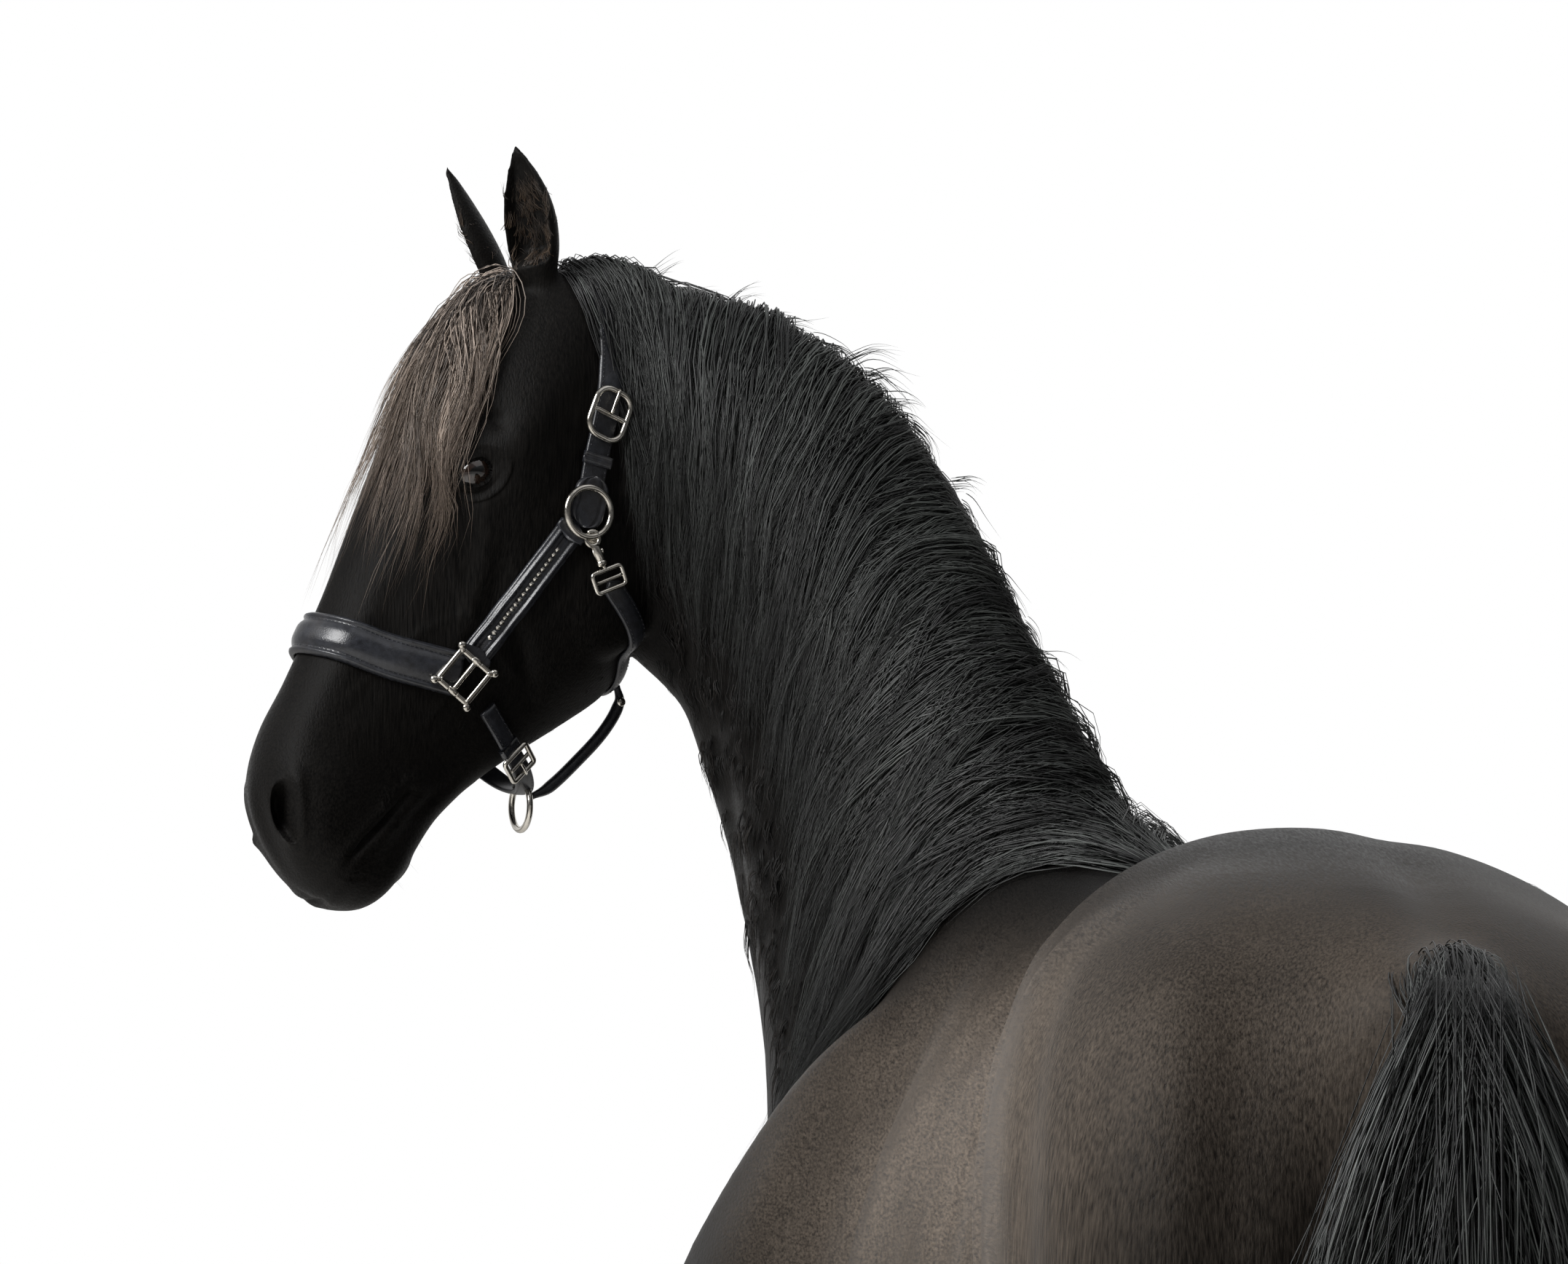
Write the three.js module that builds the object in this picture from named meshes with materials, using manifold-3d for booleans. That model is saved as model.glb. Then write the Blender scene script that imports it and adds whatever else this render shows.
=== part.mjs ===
// A Friesian horse at life size, standing square and looking back over its left shoulder, in a leather halter.
// Millimetres, +Z up. The hindquarters face -Y and the horse's left is +X; the floor is z = 0.
// Every soft form is a loft: rows of named sizes, read by a smooth curve and turned into rings.
import * as THREE from "three";
import { mergeVertices } from "three/addons/utils/BufferGeometryUtils.js";
import Module from "manifold-3d";

const wasm = await Module();
wasm.setup();

// Driving sizes.
const withersHeight = 1625;
const bendFrom = 450; // the trunk starts to curve left this far in front of the buttocks
const bendTo = 1250;
const trunkBend = THREE.MathUtils.degToRad(24);
const hipRoll = 0.18; // the croup leans down to the right by this slope
const gap = 0.3; // between two nodes that meet
const foreCut = 860; // height at which each leg is parted from the trunk
const hindCut = 925;

// Colours of the coat, hair, horn, leather and steel.
const finishes = {
  coat: { color: "#17130f", roughness: 0.45 },
  hair: { color: "#121110", roughness: 0.5 },
  eye: { color: "#120b08", roughness: 0.08 },
  horn: { color: "#2a2622", roughness: 0.5 },
  leather: { color: "#15151a", roughness: 0.35 },
  steel: { color: "#b9b7b0", roughness: 0.25, metalness: 1 },
};
const materials = Object.fromEntries(
  Object.entries(finishes).map(([name, look]) => [name, new THREE.MeshStandardMaterial({ name, ...look })]),
);

const vec = (x, y, z) => new THREE.Vector3(x, y, z);
const along = (p, d, k) => p.clone().addScaledVector(d, k);

// Reads rows [at, a, b, ...] at any place by a Hermite curve whose slope at a row is that between its neighbours.
function readRows(rows, at) {
  const last = rows.length - 1;
  const x = THREE.MathUtils.clamp(at, rows[0][0], rows[last][0]);
  let i = 0;
  while (i < last - 1 && x > rows[i + 1][0]) i++;
  const [p, q] = [rows[i], rows[i + 1]];
  const [before, after] = [rows[Math.max(i - 1, 0)], rows[Math.min(i + 2, last)]];
  const h = q[0] - p[0];
  const t = (x - p[0]) / h;
  return p.slice(1).map((a, k) => {
    const b = q[k + 1];
    const slopeA = (b - before[k + 1]) / (q[0] - before[0]);
    const slopeB = (after[k + 1] - a) / (after[0] - p[0]);
    return (
      a * (1 + 2 * t) * (1 - t) ** 2 +
      b * t * t * (3 - 2 * t) +
      h * (slopeA * t * (1 - t) ** 2 - slopeB * t * t * (1 - t))
    );
  });
}

// The spine seen from above: straight over the hindquarters, then a smooth curve to the left.
const heading = (s) => trunkBend * THREE.MathUtils.smoothstep(s, bendFrom, bendTo);
const spineStep = 10;
const spinePath = [vec(0, 0, 0)];
for (let s = 0; s < 1800; s += spineStep) {
  const h = heading(s + spineStep / 2);
  spinePath.push(along(spinePath.at(-1), vec(Math.sin(h), -Math.cos(h), 0), spineStep));
}
function bodyPoint(s, left, z) {
  const h = heading(s);
  const k = THREE.MathUtils.clamp(Math.floor(s / spineStep), 0, spinePath.length - 2);
  const onSpine = along(spinePath[k], vec(Math.sin(h), -Math.cos(h), 0), s - k * spineStep);
  const lean = 1 - THREE.MathUtils.smoothstep(s, 500, 1000);
  const drop = hipRoll * left * lean * THREE.MathUtils.smoothstep(z, 1000, 1450);
  return along(onSpine, vec(Math.cos(h), Math.sin(h), 0), left).setZ(z + drop);
}

// A closed mesh as a solid, and a solid as a named mesh.
function solidOf(geometry) {
  const bare = geometry.index ? geometry.toNonIndexed() : geometry.clone();
  bare.deleteAttribute("normal");
  bare.deleteAttribute("uv");
  const merged = mergeVertices(bare, 1e-3);
  const mesh = new wasm.Mesh({
    numProp: 3,
    vertProperties: merged.attributes.position.array,
    triVerts: new Uint32Array(merged.index.array),
  });
  const made = new wasm.Manifold(mesh);
  return made;
}
const group = new THREE.Group();
function addNode(name, solid, finish) {
  const pieces = solid.decompose().sort((a, b) => b.volume() - a.volume());
  const mesh = pieces[0].getMesh();
  const geometry = new THREE.BufferGeometry();
  const position = new Float32Array(mesh.numVert * 3);
  for (let i = 0; i < mesh.numVert; i++)
    for (let k = 0; k < 3; k++) position[3 * i + k] = mesh.vertProperties[mesh.numProp * i + k];
  geometry.setAttribute("position", new THREE.BufferAttribute(position, 3));
  geometry.setIndex(new THREE.BufferAttribute(mesh.triVerts, 1));
  geometry.computeVertexNormals();
  const node = new THREE.Mesh(geometry, materials[finish]);
  node.name = name;
  group.add(node);
  return pieces[0];
}

// A loft through rings of equal count, closed by a fan at each end, facing out whichever way the rings run.
function loft(rings) {
  const count = rings[0].length;
  const middle = (ring) => ring.reduce((sum, p) => sum.add(p), vec(0, 0, 0)).divideScalar(ring.length);
  const points = [...rings.flat(), middle(rings[0]), middle(rings.at(-1))];
  const first = points.length - 2;
  const index = [];
  for (let r = 0; r < rings.length - 1; r++)
    for (let k = 0; k < count; k++) {
      const a = r * count + k;
      const b = r * count + ((k + 1) % count);
      index.push(a, b, b + count, a, b + count, a + count);
    }
  for (let k = 0; k < count; k++) {
    const next = (k + 1) % count;
    index.push(first, next, k);
    index.push(first + 1, (rings.length - 1) * count + k, (rings.length - 1) * count + next);
  }
  let volume = 0;
  for (let i = 0; i < index.length; i += 3) {
    const [a, b, c] = [points[index[i]], points[index[i + 1]], points[index[i + 2]]];
    volume += a.dot(b.clone().cross(c));
  }
  if (volume < 0) for (let i = 0; i < index.length; i += 3) [index[i], index[i + 1]] = [index[i + 1], index[i]];
  const geometry = new THREE.BufferGeometry().setFromPoints(points);
  geometry.setIndex(index);
  return solidOf(geometry);
}

// A ring round a centre: a superellipse with its own reach and fullness on each of the four sides.
function oval(centre, side, up, { left, right, top, bottom, fullTop = 2, fullBottom = 2 }, count) {
  const ring = [];
  for (let k = 0; k < count; k++) {
    const a = ((k + 0.5) / count) * 2 * Math.PI;
    const [c, s] = [Math.cos(a), Math.sin(a)];
    const power = 2 / (s > 0 ? fullTop : fullBottom);
    const x = Math.sign(c) * Math.abs(c) ** power * (c > 0 ? left : right);
    const y = Math.sign(s) * Math.abs(s) ** power * (s > 0 ? top : bottom);
    ring.push(along(along(centre, side, x), up, y));
  }
  return ring;
}

const UP = vec(0, 0, 1);
const union = (parts) => wasm.Manifold.union(parts);
const above = (solid, z) => solid.trimByPlane([0, 0, 1], z);
const below = (solid, z) => solid.trimByPlane([0, 0, -1], -z);

// Trunk rows: forward of the buttocks; top, bottom, half width, height of the widest, fullness above and below.
const trunkRows = [
  [28, 1455, 1250, 60, 1370, 2.0, 2.0],
  [60, 1500, 1150, 120, 1360, 2.0, 2.0],
  [140, 1545, 1060, 190, 1340, 2.0, 2.0],
  [260, 1576, 1010, 240, 1320, 2.1, 2.0],
  [400, 1598, 975, 272, 1320, 2.2, 2.0],
  [530, 1598, 945, 280, 1310, 2.2, 2.0],
  [660, 1583, 915, 276, 1250, 2.2, 2.1],
  [800, 1566, 882, 292, 1200, 2.2, 2.2],
  [950, 1556, 862, 305, 1180, 2.1, 2.2],
  [1090, 1574, 860, 296, 1180, 1.9, 2.2],
  [1190, 1606, 868, 272, 1170, 1.7, 2.1],
  [1270, withersHeight, 878, 250, 1160, 1.6, 2.0],
  [1370, 1590, 905, 238, 1160, 1.7, 2.0],
  [1470, 1480, 960, 215, 1170, 1.9, 2.0],
  [1560, 1350, 1045, 165, 1185, 2.0, 2.0],
  [1610, 1250, 1120, 80, 1190, 2.0, 2.0],
];
function trunk(grow, rings = 16, count = 20) {
  const made = [];
  const [from, to] = [trunkRows[0][0], trunkRows.at(-1)[0]];
  for (let r = 0; r <= rings; r++) {
    const s = from + ((to - from) * (1 - Math.cos((Math.PI * r) / rings))) / 2;
    const [top, bottom, half, widest, fullTop, fullBottom] = readRows(trunkRows, s);
    const size = { left: half + grow, right: half + grow, top: top - widest + grow, bottom: widest - bottom + grow };
    const flat = oval(vec(0, widest, 0), vec(1, 0, 0), vec(0, 1, 0), { ...size, fullTop, fullBottom }, count);
    const place = s + (r === 0 ? -grow : r === rings ? grow : 0);
    made.push(flat.map((p) => bodyPoint(place, p.x, p.y)));
  }
  return loft(made);
}

// Leg rows, sliced level: height; back and front edge; inner and outer edge; fullness. Lengths from the leg's own line.
const foreRows = [
  [1500, -110, 30, 60, 150, 2.0],
  [1440, -140, 60, 60, 215, 2.0],
  [1340, -150, 150, 60, 262, 2.1],
  [1240, -140, 238, 60, 286, 2.2],
  [1150, -130, 268, 60, 292, 2.2],
  [1080, -122, 250, 60, 284, 2.2],
  [1010, -125, 185, 60, 270, 2.2],
  [940, -122, 122, 70, 252, 2.1],
  [870, -100, 92, 86, 234, 2.1],
  [780, -76, 76, 100, 216, 2.1],
  [690, -62, 66, 108, 203, 2.1],
  [600, -55, 58, 112, 196, 2.1],
  [545, -54, 58, 108, 198, 2.3],
  [500, -57, 66, 104, 200, 2.6],
  [455, -56, 60, 108, 196, 2.4],
  [415, -50, 44, 120, 186, 2.2],
  [340, -46, 36, 126, 180, 2.2],
  [270, -50, 40, 122, 184, 2.2],
  [225, -56, 50, 116, 190, 2.2],
  [190, -42, 58, 120, 186, 2.2],
  [150, -14, 78, 122, 184, 2.2],
];
const foreLine = 1332; // forward of the buttocks
const hindRows = [
  [1545, 190, 470, 10, 150, 2.0],
  [1480, 90, 545, 10, 235, 2.1],
  [1390, 30, 575, 10, 278, 2.2],
  [1290, -2, 580, 10, 290, 2.2],
  [1190, -6, 585, 15, 284, 2.2],
  [1090, 22, 598, 30, 268, 2.2],
  [1010, 60, 585, 50, 250, 2.2],
  [925, 88, 500, 70, 230, 2.2],
  [840, 80, 415, 85, 214, 2.1],
  [760, 52, 335, 96, 203, 2.1],
  [690, 12, 262, 102, 196, 2.2],
  [640, -16, 222, 104, 193, 2.3],
  [590, -14, 204, 98, 198, 2.5],
  [540, 2, 186, 100, 196, 2.4],
  [485, 26, 156, 112, 186, 2.2],
  [420, 40, 134, 120, 178, 2.2],
  [340, 44, 128, 122, 176, 2.2],
  [270, 38, 134, 118, 180, 2.2],
  [225, 32, 146, 112, 186, 2.2],
  [190, 46, 154, 116, 182, 2.2],
  [150, 76, 172, 118, 180, 2.2],
];
const hindLine = 0;
// Hoof rows: height at the toe and at the heel, back and front edge, half width.
const hoofRows = [
  [0, 0, -20, 158, 68],
  [30, 24, -12, 136, 64],
  [92, 52, 8, 92, 50],
];
const legCentre = 153; // hoof's middle, left of the midline

function legFrame(line, side) {
  const h = heading(line);
  return {
    at: (f, l, z) => along(bodyPoint(line, side * l, z), vec(Math.sin(h), -Math.cos(h), 0), f),
    forward: vec(Math.sin(h), -Math.cos(h), 0),
    outward: vec(Math.cos(h), Math.sin(h), 0).multiplyScalar(side),
  };
}
function legRing(rows, z, frame, grow, count) {
  const [back, front, inner, outer, full] = readRows([...rows].reverse(), z);
  const half = (outer - inner) / 2 + grow;
  const reach = (front - back) / 2 + grow;
  const size = { left: half, right: half, top: reach, bottom: reach, fullTop: full, fullBottom: full };
  const middle = vec((inner + outer) / 2, (front + back) / 2, 0);
  return oval(middle, vec(1, 0, 0), vec(0, 1, 0), size, count).map((p) => frame.at(p.y, p.x, z));
}
function hoofRing(k, frame, heel, lift, grow, count) {
  const [toeUp, heelUp, back, front, half] = hoofRows[k];
  const centre = frame.at(heel + (front + back) / 2, legCentre, lift + (toeUp + heelUp) / 2);
  const reach = (front - back) / 2;
  const forward = along(frame.forward.clone().multiplyScalar(reach), UP, (toeUp - heelUp) / 2).normalize();
  const long = Math.hypot(reach, (toeUp - heelUp) / 2) + grow;
  const size = { left: half + grow, right: half + grow, top: long, bottom: long, fullTop: 2.1, fullBottom: 2.6 };
  return oval(centre, frame.outward, forward, size, count);
}
const hoofHeel = { fore: 0, hind: 92 }; // the heel's place along the leg's own line
function upperLeg(rows, line, side, cut, grow, count = 12) {
  const frame = legFrame(line, side);
  const top = rows[0][0];
  const rings = [];
  const steps = 7;
  for (let r = 0; r <= steps; r++) rings.push(legRing(rows, top - ((top - cut) * r) / steps, frame, grow, count));
  return loft(rings);
}
function lowerLeg(rows, line, side, cut, heel, grow = 0, count = 10) {
  const frame = legFrame(line, side);
  const low = rows.at(-1)[0];
  const rings = [];
  const heights = [cut - gap, ...rows.map((row) => row[0]).filter((z) => z < cut - 20)];
  for (const z of heights) rings.push(legRing(rows, z, frame, grow, count));
  const crown = hoofRing(2, frame, heel, gap, -1, count);
  rings.push(hoofRing(2, frame, heel, 12, 1, count), crown);
  return loft(rings);
}
function hoof(line, side, heel, grow, count = 14) {
  const frame = legFrame(line, side);
  return loft([0, 1, 2].map((k) => hoofRing(k, frame, heel, k === 0 ? -grow : grow, grow, count)));
}

const sides = { left: 1, right: -1 };
function torso(grow) {
  const parts = [trunk(grow)];
  for (const side of Object.values(sides)) {
    parts.push(upperLeg(foreRows, foreLine, side, foreCut, grow));
    parts.push(upperLeg(hindRows, hindLine, side, hindCut, grow));
  }
  return union(parts);
}

// Neck rows: crest point, throat point, half width, fullness at the crest and at the throat.
const neckRows = [
  [0, 90, -1160, 1560, 265, -1560, 1080, 205, 1.7, 2.0],
  [1, 125, -1265, 1640, 338, -1605, 1220, 180, 1.6, 2.1],
  [2, 172, -1350, 1745, 366, -1625, 1370, 150, 1.6, 2.2],
  [3, 222, -1430, 1868, 397, -1635, 1500, 130, 1.6, 2.2],
  [4, 275, -1500, 1985, 432, -1640, 1610, 116, 1.7, 2.2],
  [5, 355, -1552, 2078, 470, -1640, 1700, 106, 1.8, 2.2],
  [6, 450, -1582, 2124, 500, -1632, 1765, 98, 1.9, 2.2],
  [7, 545, -1590, 2141, 550, -1620, 1815, 88, 2.0, 2.2],
  [8, 615, -1588, 2120, 590, -1610, 1870, 66, 2.0, 2.2],
];
const neckMiddle = (t) => {
  const [cx, cy, cz, tx, ty, tz] = readRows(neckRows, t);
  return vec((cx + tx) / 2, (cy + ty) / 2, (cz + tz) / 2);
};
function neckFrame(t) {
  const [cx, cy, cz, tx, ty, tz, half, fullCrest, fullThroat] = readRows(neckRows, t);
  const [crest, throat] = [vec(cx, cy, cz), vec(tx, ty, tz)];
  const forward = neckMiddle(Math.min(t + 0.05, 8)).sub(neckMiddle(Math.max(t - 0.05, 0))).normalize();
  const up = crest.clone().sub(throat);
  const deep = up.length() / 2;
  up.normalize();
  const side = up.clone().cross(forward).normalize();
  return { middle: neckMiddle(t), up, side, deep, half, fullCrest, fullThroat };
}
// The neck's surface at a place along it and an angle round it: 90 degrees is the crest, 0 the left side.
function neckSurface(t, degrees, lift) {
  const f = neckFrame(t);
  const a = THREE.MathUtils.degToRad(degrees);
  const [c, s] = [Math.cos(a), Math.sin(a)];
  const power = 2 / (s > 0 ? f.fullCrest : f.fullThroat);
  const x = Math.sign(c) * Math.abs(c) ** power * (f.half + lift);
  const y = Math.sign(s) * Math.abs(s) ** power * (f.deep + lift);
  return along(along(f.middle, f.side, x), f.up, y);
}
function neck(grow, rings = 12, count = 14) {
  const made = [];
  for (let r = 0; r <= rings; r++) {
    const f = neckFrame((8 * r) / rings);
    const size = { left: f.half + grow, right: f.half + grow, top: f.deep + grow, bottom: f.deep + grow };
    made.push(oval(f.middle, f.side, f.up, { ...size, fullTop: f.fullCrest, fullBottom: f.fullThroat }, count));
  }
  return loft(made);
}

// The head's own frame: u runs down the face from the poll, d out of the forehead, l to its left.
const poll = vec(640, -1580, 2150);
const headTurn = THREE.MathUtils.degToRad(115);
const faceSlope = THREE.MathUtils.degToRad(64);
const headDown = vec(
  Math.sin(headTurn) * Math.cos(faceSlope),
  -Math.cos(headTurn) * Math.cos(faceSlope),
  -Math.sin(faceSlope),
);
const headOut = vec(
  Math.sin(headTurn) * Math.sin(faceSlope),
  -Math.cos(headTurn) * Math.sin(faceSlope),
  Math.cos(faceSlope),
);
const headLeft = vec(Math.cos(headTurn), Math.sin(headTurn), 0);
const headPoint = (u, d, l) => along(along(along(poll, headDown, u), headOut, d), headLeft, l);

// Head rows: down the face; profile above and below; half widths at five heights, from the brow to the jaw's edge.
const headRows = [
  [-55, -75, -112, 20, 30, 30, 26, 12],
  [-30, -34, -136, 40, 60, 64, 54, 32],
  [20, 20, -155, 56, 84, 86, 74, 46],
  [70, 40, -175, 60, 96, 92, 80, 48],
  [120, 52, -198, 63, 104, 97, 84, 48],
  [170, 56, -219, 66, 108, 98, 86, 46],
  [220, 54, -235, 62, 98, 97, 88, 44],
  [270, 50, -242, 56, 84, 92, 84, 40],
  [310, 46, -236, 52, 74, 84, 72, 38],
  [350, 43, -214, 48, 66, 73, 60, 34],
  [400, 42, -182, 45, 60, 62, 50, 31],
  [440, 42, -158, 43, 57, 57, 46, 31],
  [480, 43, -141, 45, 60, 58, 47, 33],
  [515, 37, -134, 48, 66, 63, 51, 36],
  [545, 24, -130, 46, 64, 61, 52, 38],
  [570, -1, -122, 38, 54, 56, 48, 34],
  [586, -28, -110, 26, 38, 42, 36, 24],
  [596, -52, -92, 10, 18, 20, 18, 10],
];
const sectionHeights = [0, 0.1, 0.3, 0.55, 0.8, 0.95, 1];
// The head's outline round u: v runs from 0 at the brow's middle down the left side to 1 under the jaw.
function headSurface(u, v, lift = 0) {
  const [top, bottom, ...widths] = readRows(headRows, u);
  const place = [0, 0.17, 0.34, 0.52, 0.72, 0.88, 1];
  const side = [0, ...widths, 0].map((w, i) => [place[i], w, sectionHeights[i]]);
  const mirrored = [
    ...side.slice(1).reverse().map(([p, w, h]) => [-p, -w, h]),
    ...side,
  ];
  const wrapped = [
    ...mirrored.slice(-3, -1).map(([p, w, h]) => [p - 2, w, h]),
    ...mirrored,
    ...mirrored.slice(1, 3).map(([p, w, h]) => [p + 2, w, h]),
  ];
  const read = (x) => {
    const [w, h] = readRows(wrapped, x);
    return [w, top + (bottom - top) * h];
  };
  const [w, d] = read(v);
  if (!lift) return headPoint(u, d, w);
  const [w1, d1] = read(v + 0.01);
  const [w0, d0] = read(v - 0.01);
  const long = Math.hypot(w1 - w0, d1 - d0) || 1;
  return headPoint(u, d + (lift * (w1 - w0)) / long, w - (lift * (d1 - d0)) / long);
}

// An ellipsoid: radii along three axes that need not be square to each other before they are made so.
function blob(centre, longAxis, outAxis, [along1, out, across], detail = 1) {
  const x = longAxis.clone().normalize();
  const z = x.clone().cross(outAxis).normalize();
  const y = z.clone().cross(x);
  const geometry = new THREE.IcosahedronGeometry(1, detail);
  geometry.scale(along1, out, across);
  geometry.applyMatrix4(new THREE.Matrix4().makeBasis(x, y, z).setPosition(centre));
  return solidOf(geometry);
}
const headVector = (u, d, l) => headPoint(u, d, l).sub(poll);

// Eyes: ball and lids share a centre; the slit between the lids leans from the face line.
const eyeRadius = 20.5;
const lidThickness = 4.2;
const eyeCentre = (side) => headPoint(206, -10, side * 73);
const slitLean = THREE.MathUtils.degToRad(38);
const slitAxis = headVector(Math.cos(slitLean), Math.sin(slitLean), 0);
function eyeBall(side, grow) {
  return blob(eyeCentre(side), headVector(0, 0, side), slitAxis, Array(3).fill(eyeRadius + grow));
}
// The opening between the lids, a pointed oval pushed outward through them.
function eyeSlit(side) {
  const out = headVector(0.05, 0.12, side).normalize();
  const across = out.clone().cross(slitAxis).normalize();
  const shape = [[-19, 0], [-13, 7.5], [-4, 11.5], [6, 11], [14, 6], [20, 0], [13, -6.5], [3, -9], [-8, -7.5]];
  const ring = (far, spread) =>
    shape.map(([x, y]) => along(along(along(eyeCentre(side), out, far), slitAxis, x * spread), across, y * spread));
  return loft([ring(6, 0.96), ring(34, 1.12)]);
}

// Swellings that stand out of the head's loft, each [centre u, d, l], [axis u, d, l], radii.
const headSwellings = [
  [[180, 10, 62], [1, -0.5, 0], [48, 27, 26]], // brow
  [[226, -148, 60], [1, 0, 0], [90, 37, 82]], // cheek
  [[318, -60, 64], [1, 0.08, -0.2], [88, 11, 11]], // facial crest
  [[545, 0, 41], [1, -0.8, 0], [31, 10, 15]], // nostril's rim
  [[100, 22, 44], [1, 0.1, 0.1], [62, 26, 24]], // forehead
];
function head(grow, count = 20) {
  const rows = [-55, -30, 20, 70, 120, 170, 220, 270, 310, 350, 400, 440, 480, 515, 545, 565, 580, 590, 596];
  const parts = [
    loft(
      rows.map((u) => {
        const ring = [];
        for (let k = 0; k < count; k++) ring.push(headSurface(u, -1 + (2 * (k + 0.5)) / count, grow));
        return ring;
      }),
    ),
    blob(headPoint(533, -114, 0), headVector(1, 0.1, 0), headVector(0, 1, 0), [30 + grow, 20 + grow, 37 + grow]),
  ];
  for (const side of Object.values(sides)) {
    for (const [[u, d, l], [au, ad, al], radii] of headSwellings)
      parts.push(
        blob(
          headPoint(u, d, side * l),
          headVector(au, ad, side * al),
          headVector(0, 0, side),
          radii.map((radius) => radius + grow),
        ),
      );
    parts.push(blob(eyeCentre(side), headVector(0, 0, side), slitAxis, Array(3).fill(eyeRadius + lidThickness + grow)));
  }
  return union(parts);
}
function headHollows() {
  const parts = [];
  for (const side of Object.values(sides)) {
    parts.push(eyeBall(side, gap), eyeSlit(side));
    parts.push(blob(headPoint(544, 2, side * 56), headVector(1, -0.85, 0), headVector(0, 0, side), [25, 26, 9]));
  }
  // The line of the mouth: a thin slot that follows the lips from corner to corner.
  const lip = [[479, 51], [510, 55], [537, 57], [560, 52], [577, 40], [588, 24]];
  const line = [...lip, ...lip.slice().reverse().map(([u, l]) => [u, -l])];
  parts.push(
    loft(
      line.map(([u, l]) => {
        const d = -92 + ((u - 479) * 40) / 109;
        const out = vec(0.55 * Math.max(0, (u - 540) / 48), 0, Math.sign(l)).normalize();
        const half = 1.7;
        return [
          [-8, -half],
          [14, -half],
          [14, half],
          [-8, half],
        ].map(([away, lift]) => headPoint(u + out.x * away, d + lift, l + out.z * away));
      }),
    ),
  );
  return union(parts);
}

// Ears: a pointed cup from base to tip; rows of place along the ear, half width, half thickness.
const earTips = { 1: [-82, 79, 55], "-1": [-67, 94, -60] };
const earRows = [
  [-20, 17, 14],
  [0, 21, 17],
  [20, 26, 19],
  [46, 27.5, 18],
  [72, 23, 14],
  [94, 14, 9],
  [108, 6.5, 5],
  [118, 1.5, 1.5],
];
const earCupRows = [
  [10, 3, 4, 12],
  [25, 15, 19, 15],
  [46, 20.5, 21, 14],
  [72, 17, 17, 11],
  [93, 9, 11, 8],
  [108, 2, 4, 5],
];
function ear(side, grow = 0) {
  const base = headPoint(10, 8, side * 49);
  const axis = headPoint(...earTips[side]).sub(base).normalize();
  const wide = axis.clone().cross(headVector(0.62, 0.62, side * 0.45)).normalize();
  const open = wide.clone().cross(axis).normalize();
  const section = (at, half, thick, forward, count) => {
    const bow = 12 * Math.max(at / 118, 0) * (1 - Math.max(at / 118, 0)) * 4;
    const centre = along(along(along(base, axis, at), open, forward - 4), headVector(0, 0, side), bow * 0.5);
    return oval(centre, wide, open, { left: half, right: half, top: thick, bottom: thick }, count);
  };
  const outer = loft(earRows.map(([at, half, thick]) => section(at, half + grow, thick + grow, 0, 10)));
  if (grow) return outer;
  const cup = loft(earCupRows.map(([at, half, thick, forward]) => section(at, half, thick, forward, 8)));
  return outer.subtract(cup);
}

const torsoSolid = torso(0);
const torsoRoom = torso(gap);
const headForm = head(0);
const headRoom = head(gap);
const neckForm = neck(0);
const neckRoom = neck(gap);

// The halter hugs the head: rays from outside find the surface, and the leather lies on it.
const [huggedHead, huggedBoth] = [headForm, headForm.add(neckForm)].map((solid) => {
  const mesh = solid.getMesh();
  const geometry = new THREE.BufferGeometry();
  geometry.setAttribute("position", new THREE.BufferAttribute(mesh.vertProperties, mesh.numProp));
  geometry.setIndex(new THREE.BufferAttribute(mesh.triVerts, 1));
  return new THREE.Mesh(geometry, new THREE.MeshBasicMaterial({ side: THREE.DoubleSide }));
});
const axisDepth = -85;
const ray = new THREE.Raycaster();
// The surface outside the head's axis at u, seen at an angle round it: 0 is the brow, 90 the left, 180 the jaw.
function hug(u, degrees) {
  const a = THREE.MathUtils.degToRad(degrees);
  const from = headPoint(u, axisDepth, 0);
  const out = headVector(0, Math.cos(a), Math.sin(a)).normalize();
  ray.set(along(from, out, 400), out.clone().negate());
  const hits = ray.intersectObject(u < 190 ? huggedBoth : huggedHead);
  return { point: hits[0].point, out };
}
function strap(path, { width, thick = 3.4, lift = 1.8, ridge = 0, steps = 24, closed = false }, grow = 0) {
  const rings = [];
  const curve = new THREE.CatmullRomCurve3(path.map(([u, a]) => vec(u, a, 0)), false, "centripetal");
  const half = width / 2 + grow;
  for (let i = 0; i <= steps; i++) {
    const t = i / steps;
    const at = curve.getPoint(t);
    const next = curve.getPoint(Math.min(t + 0.01, 1)).sub(curve.getPoint(Math.max(t - 0.01, 0)));
    const reach = hug(at.x, at.y).point.distanceTo(headPoint(at.x, axisDepth, 0));
    const perDegree = (reach * Math.PI) / 180;
    const run = vec(next.x, next.y * perDegree, 0).normalize();
    const spots = [-1, 0, 1].map((k) => hug(at.x - k * half * run.y, at.y + (k * half * run.x) / perDegree));
    const low = spots.map(({ point, out }) => along(point, out, lift - grow));
    const high = spots.map(({ point, out }, k) => along(point, out, lift + thick + grow + (k === 1 ? ridge : 0)));
    rings.push(ridge ? [low[0], low[2], high[2], high[1], high[0]] : [low[0], low[2], high[2], high[0]]);
  }
  if (grow) {
    const longer = (ring, from) => ring.map((p, k) => along(p, p.clone().sub(from[k]).normalize(), grow));
    rings[0] = longer(rings[0], rings[1]);
    rings[steps] = longer(rings[steps], rings[steps - 1]);
  }
  return loft(rings);
}
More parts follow.
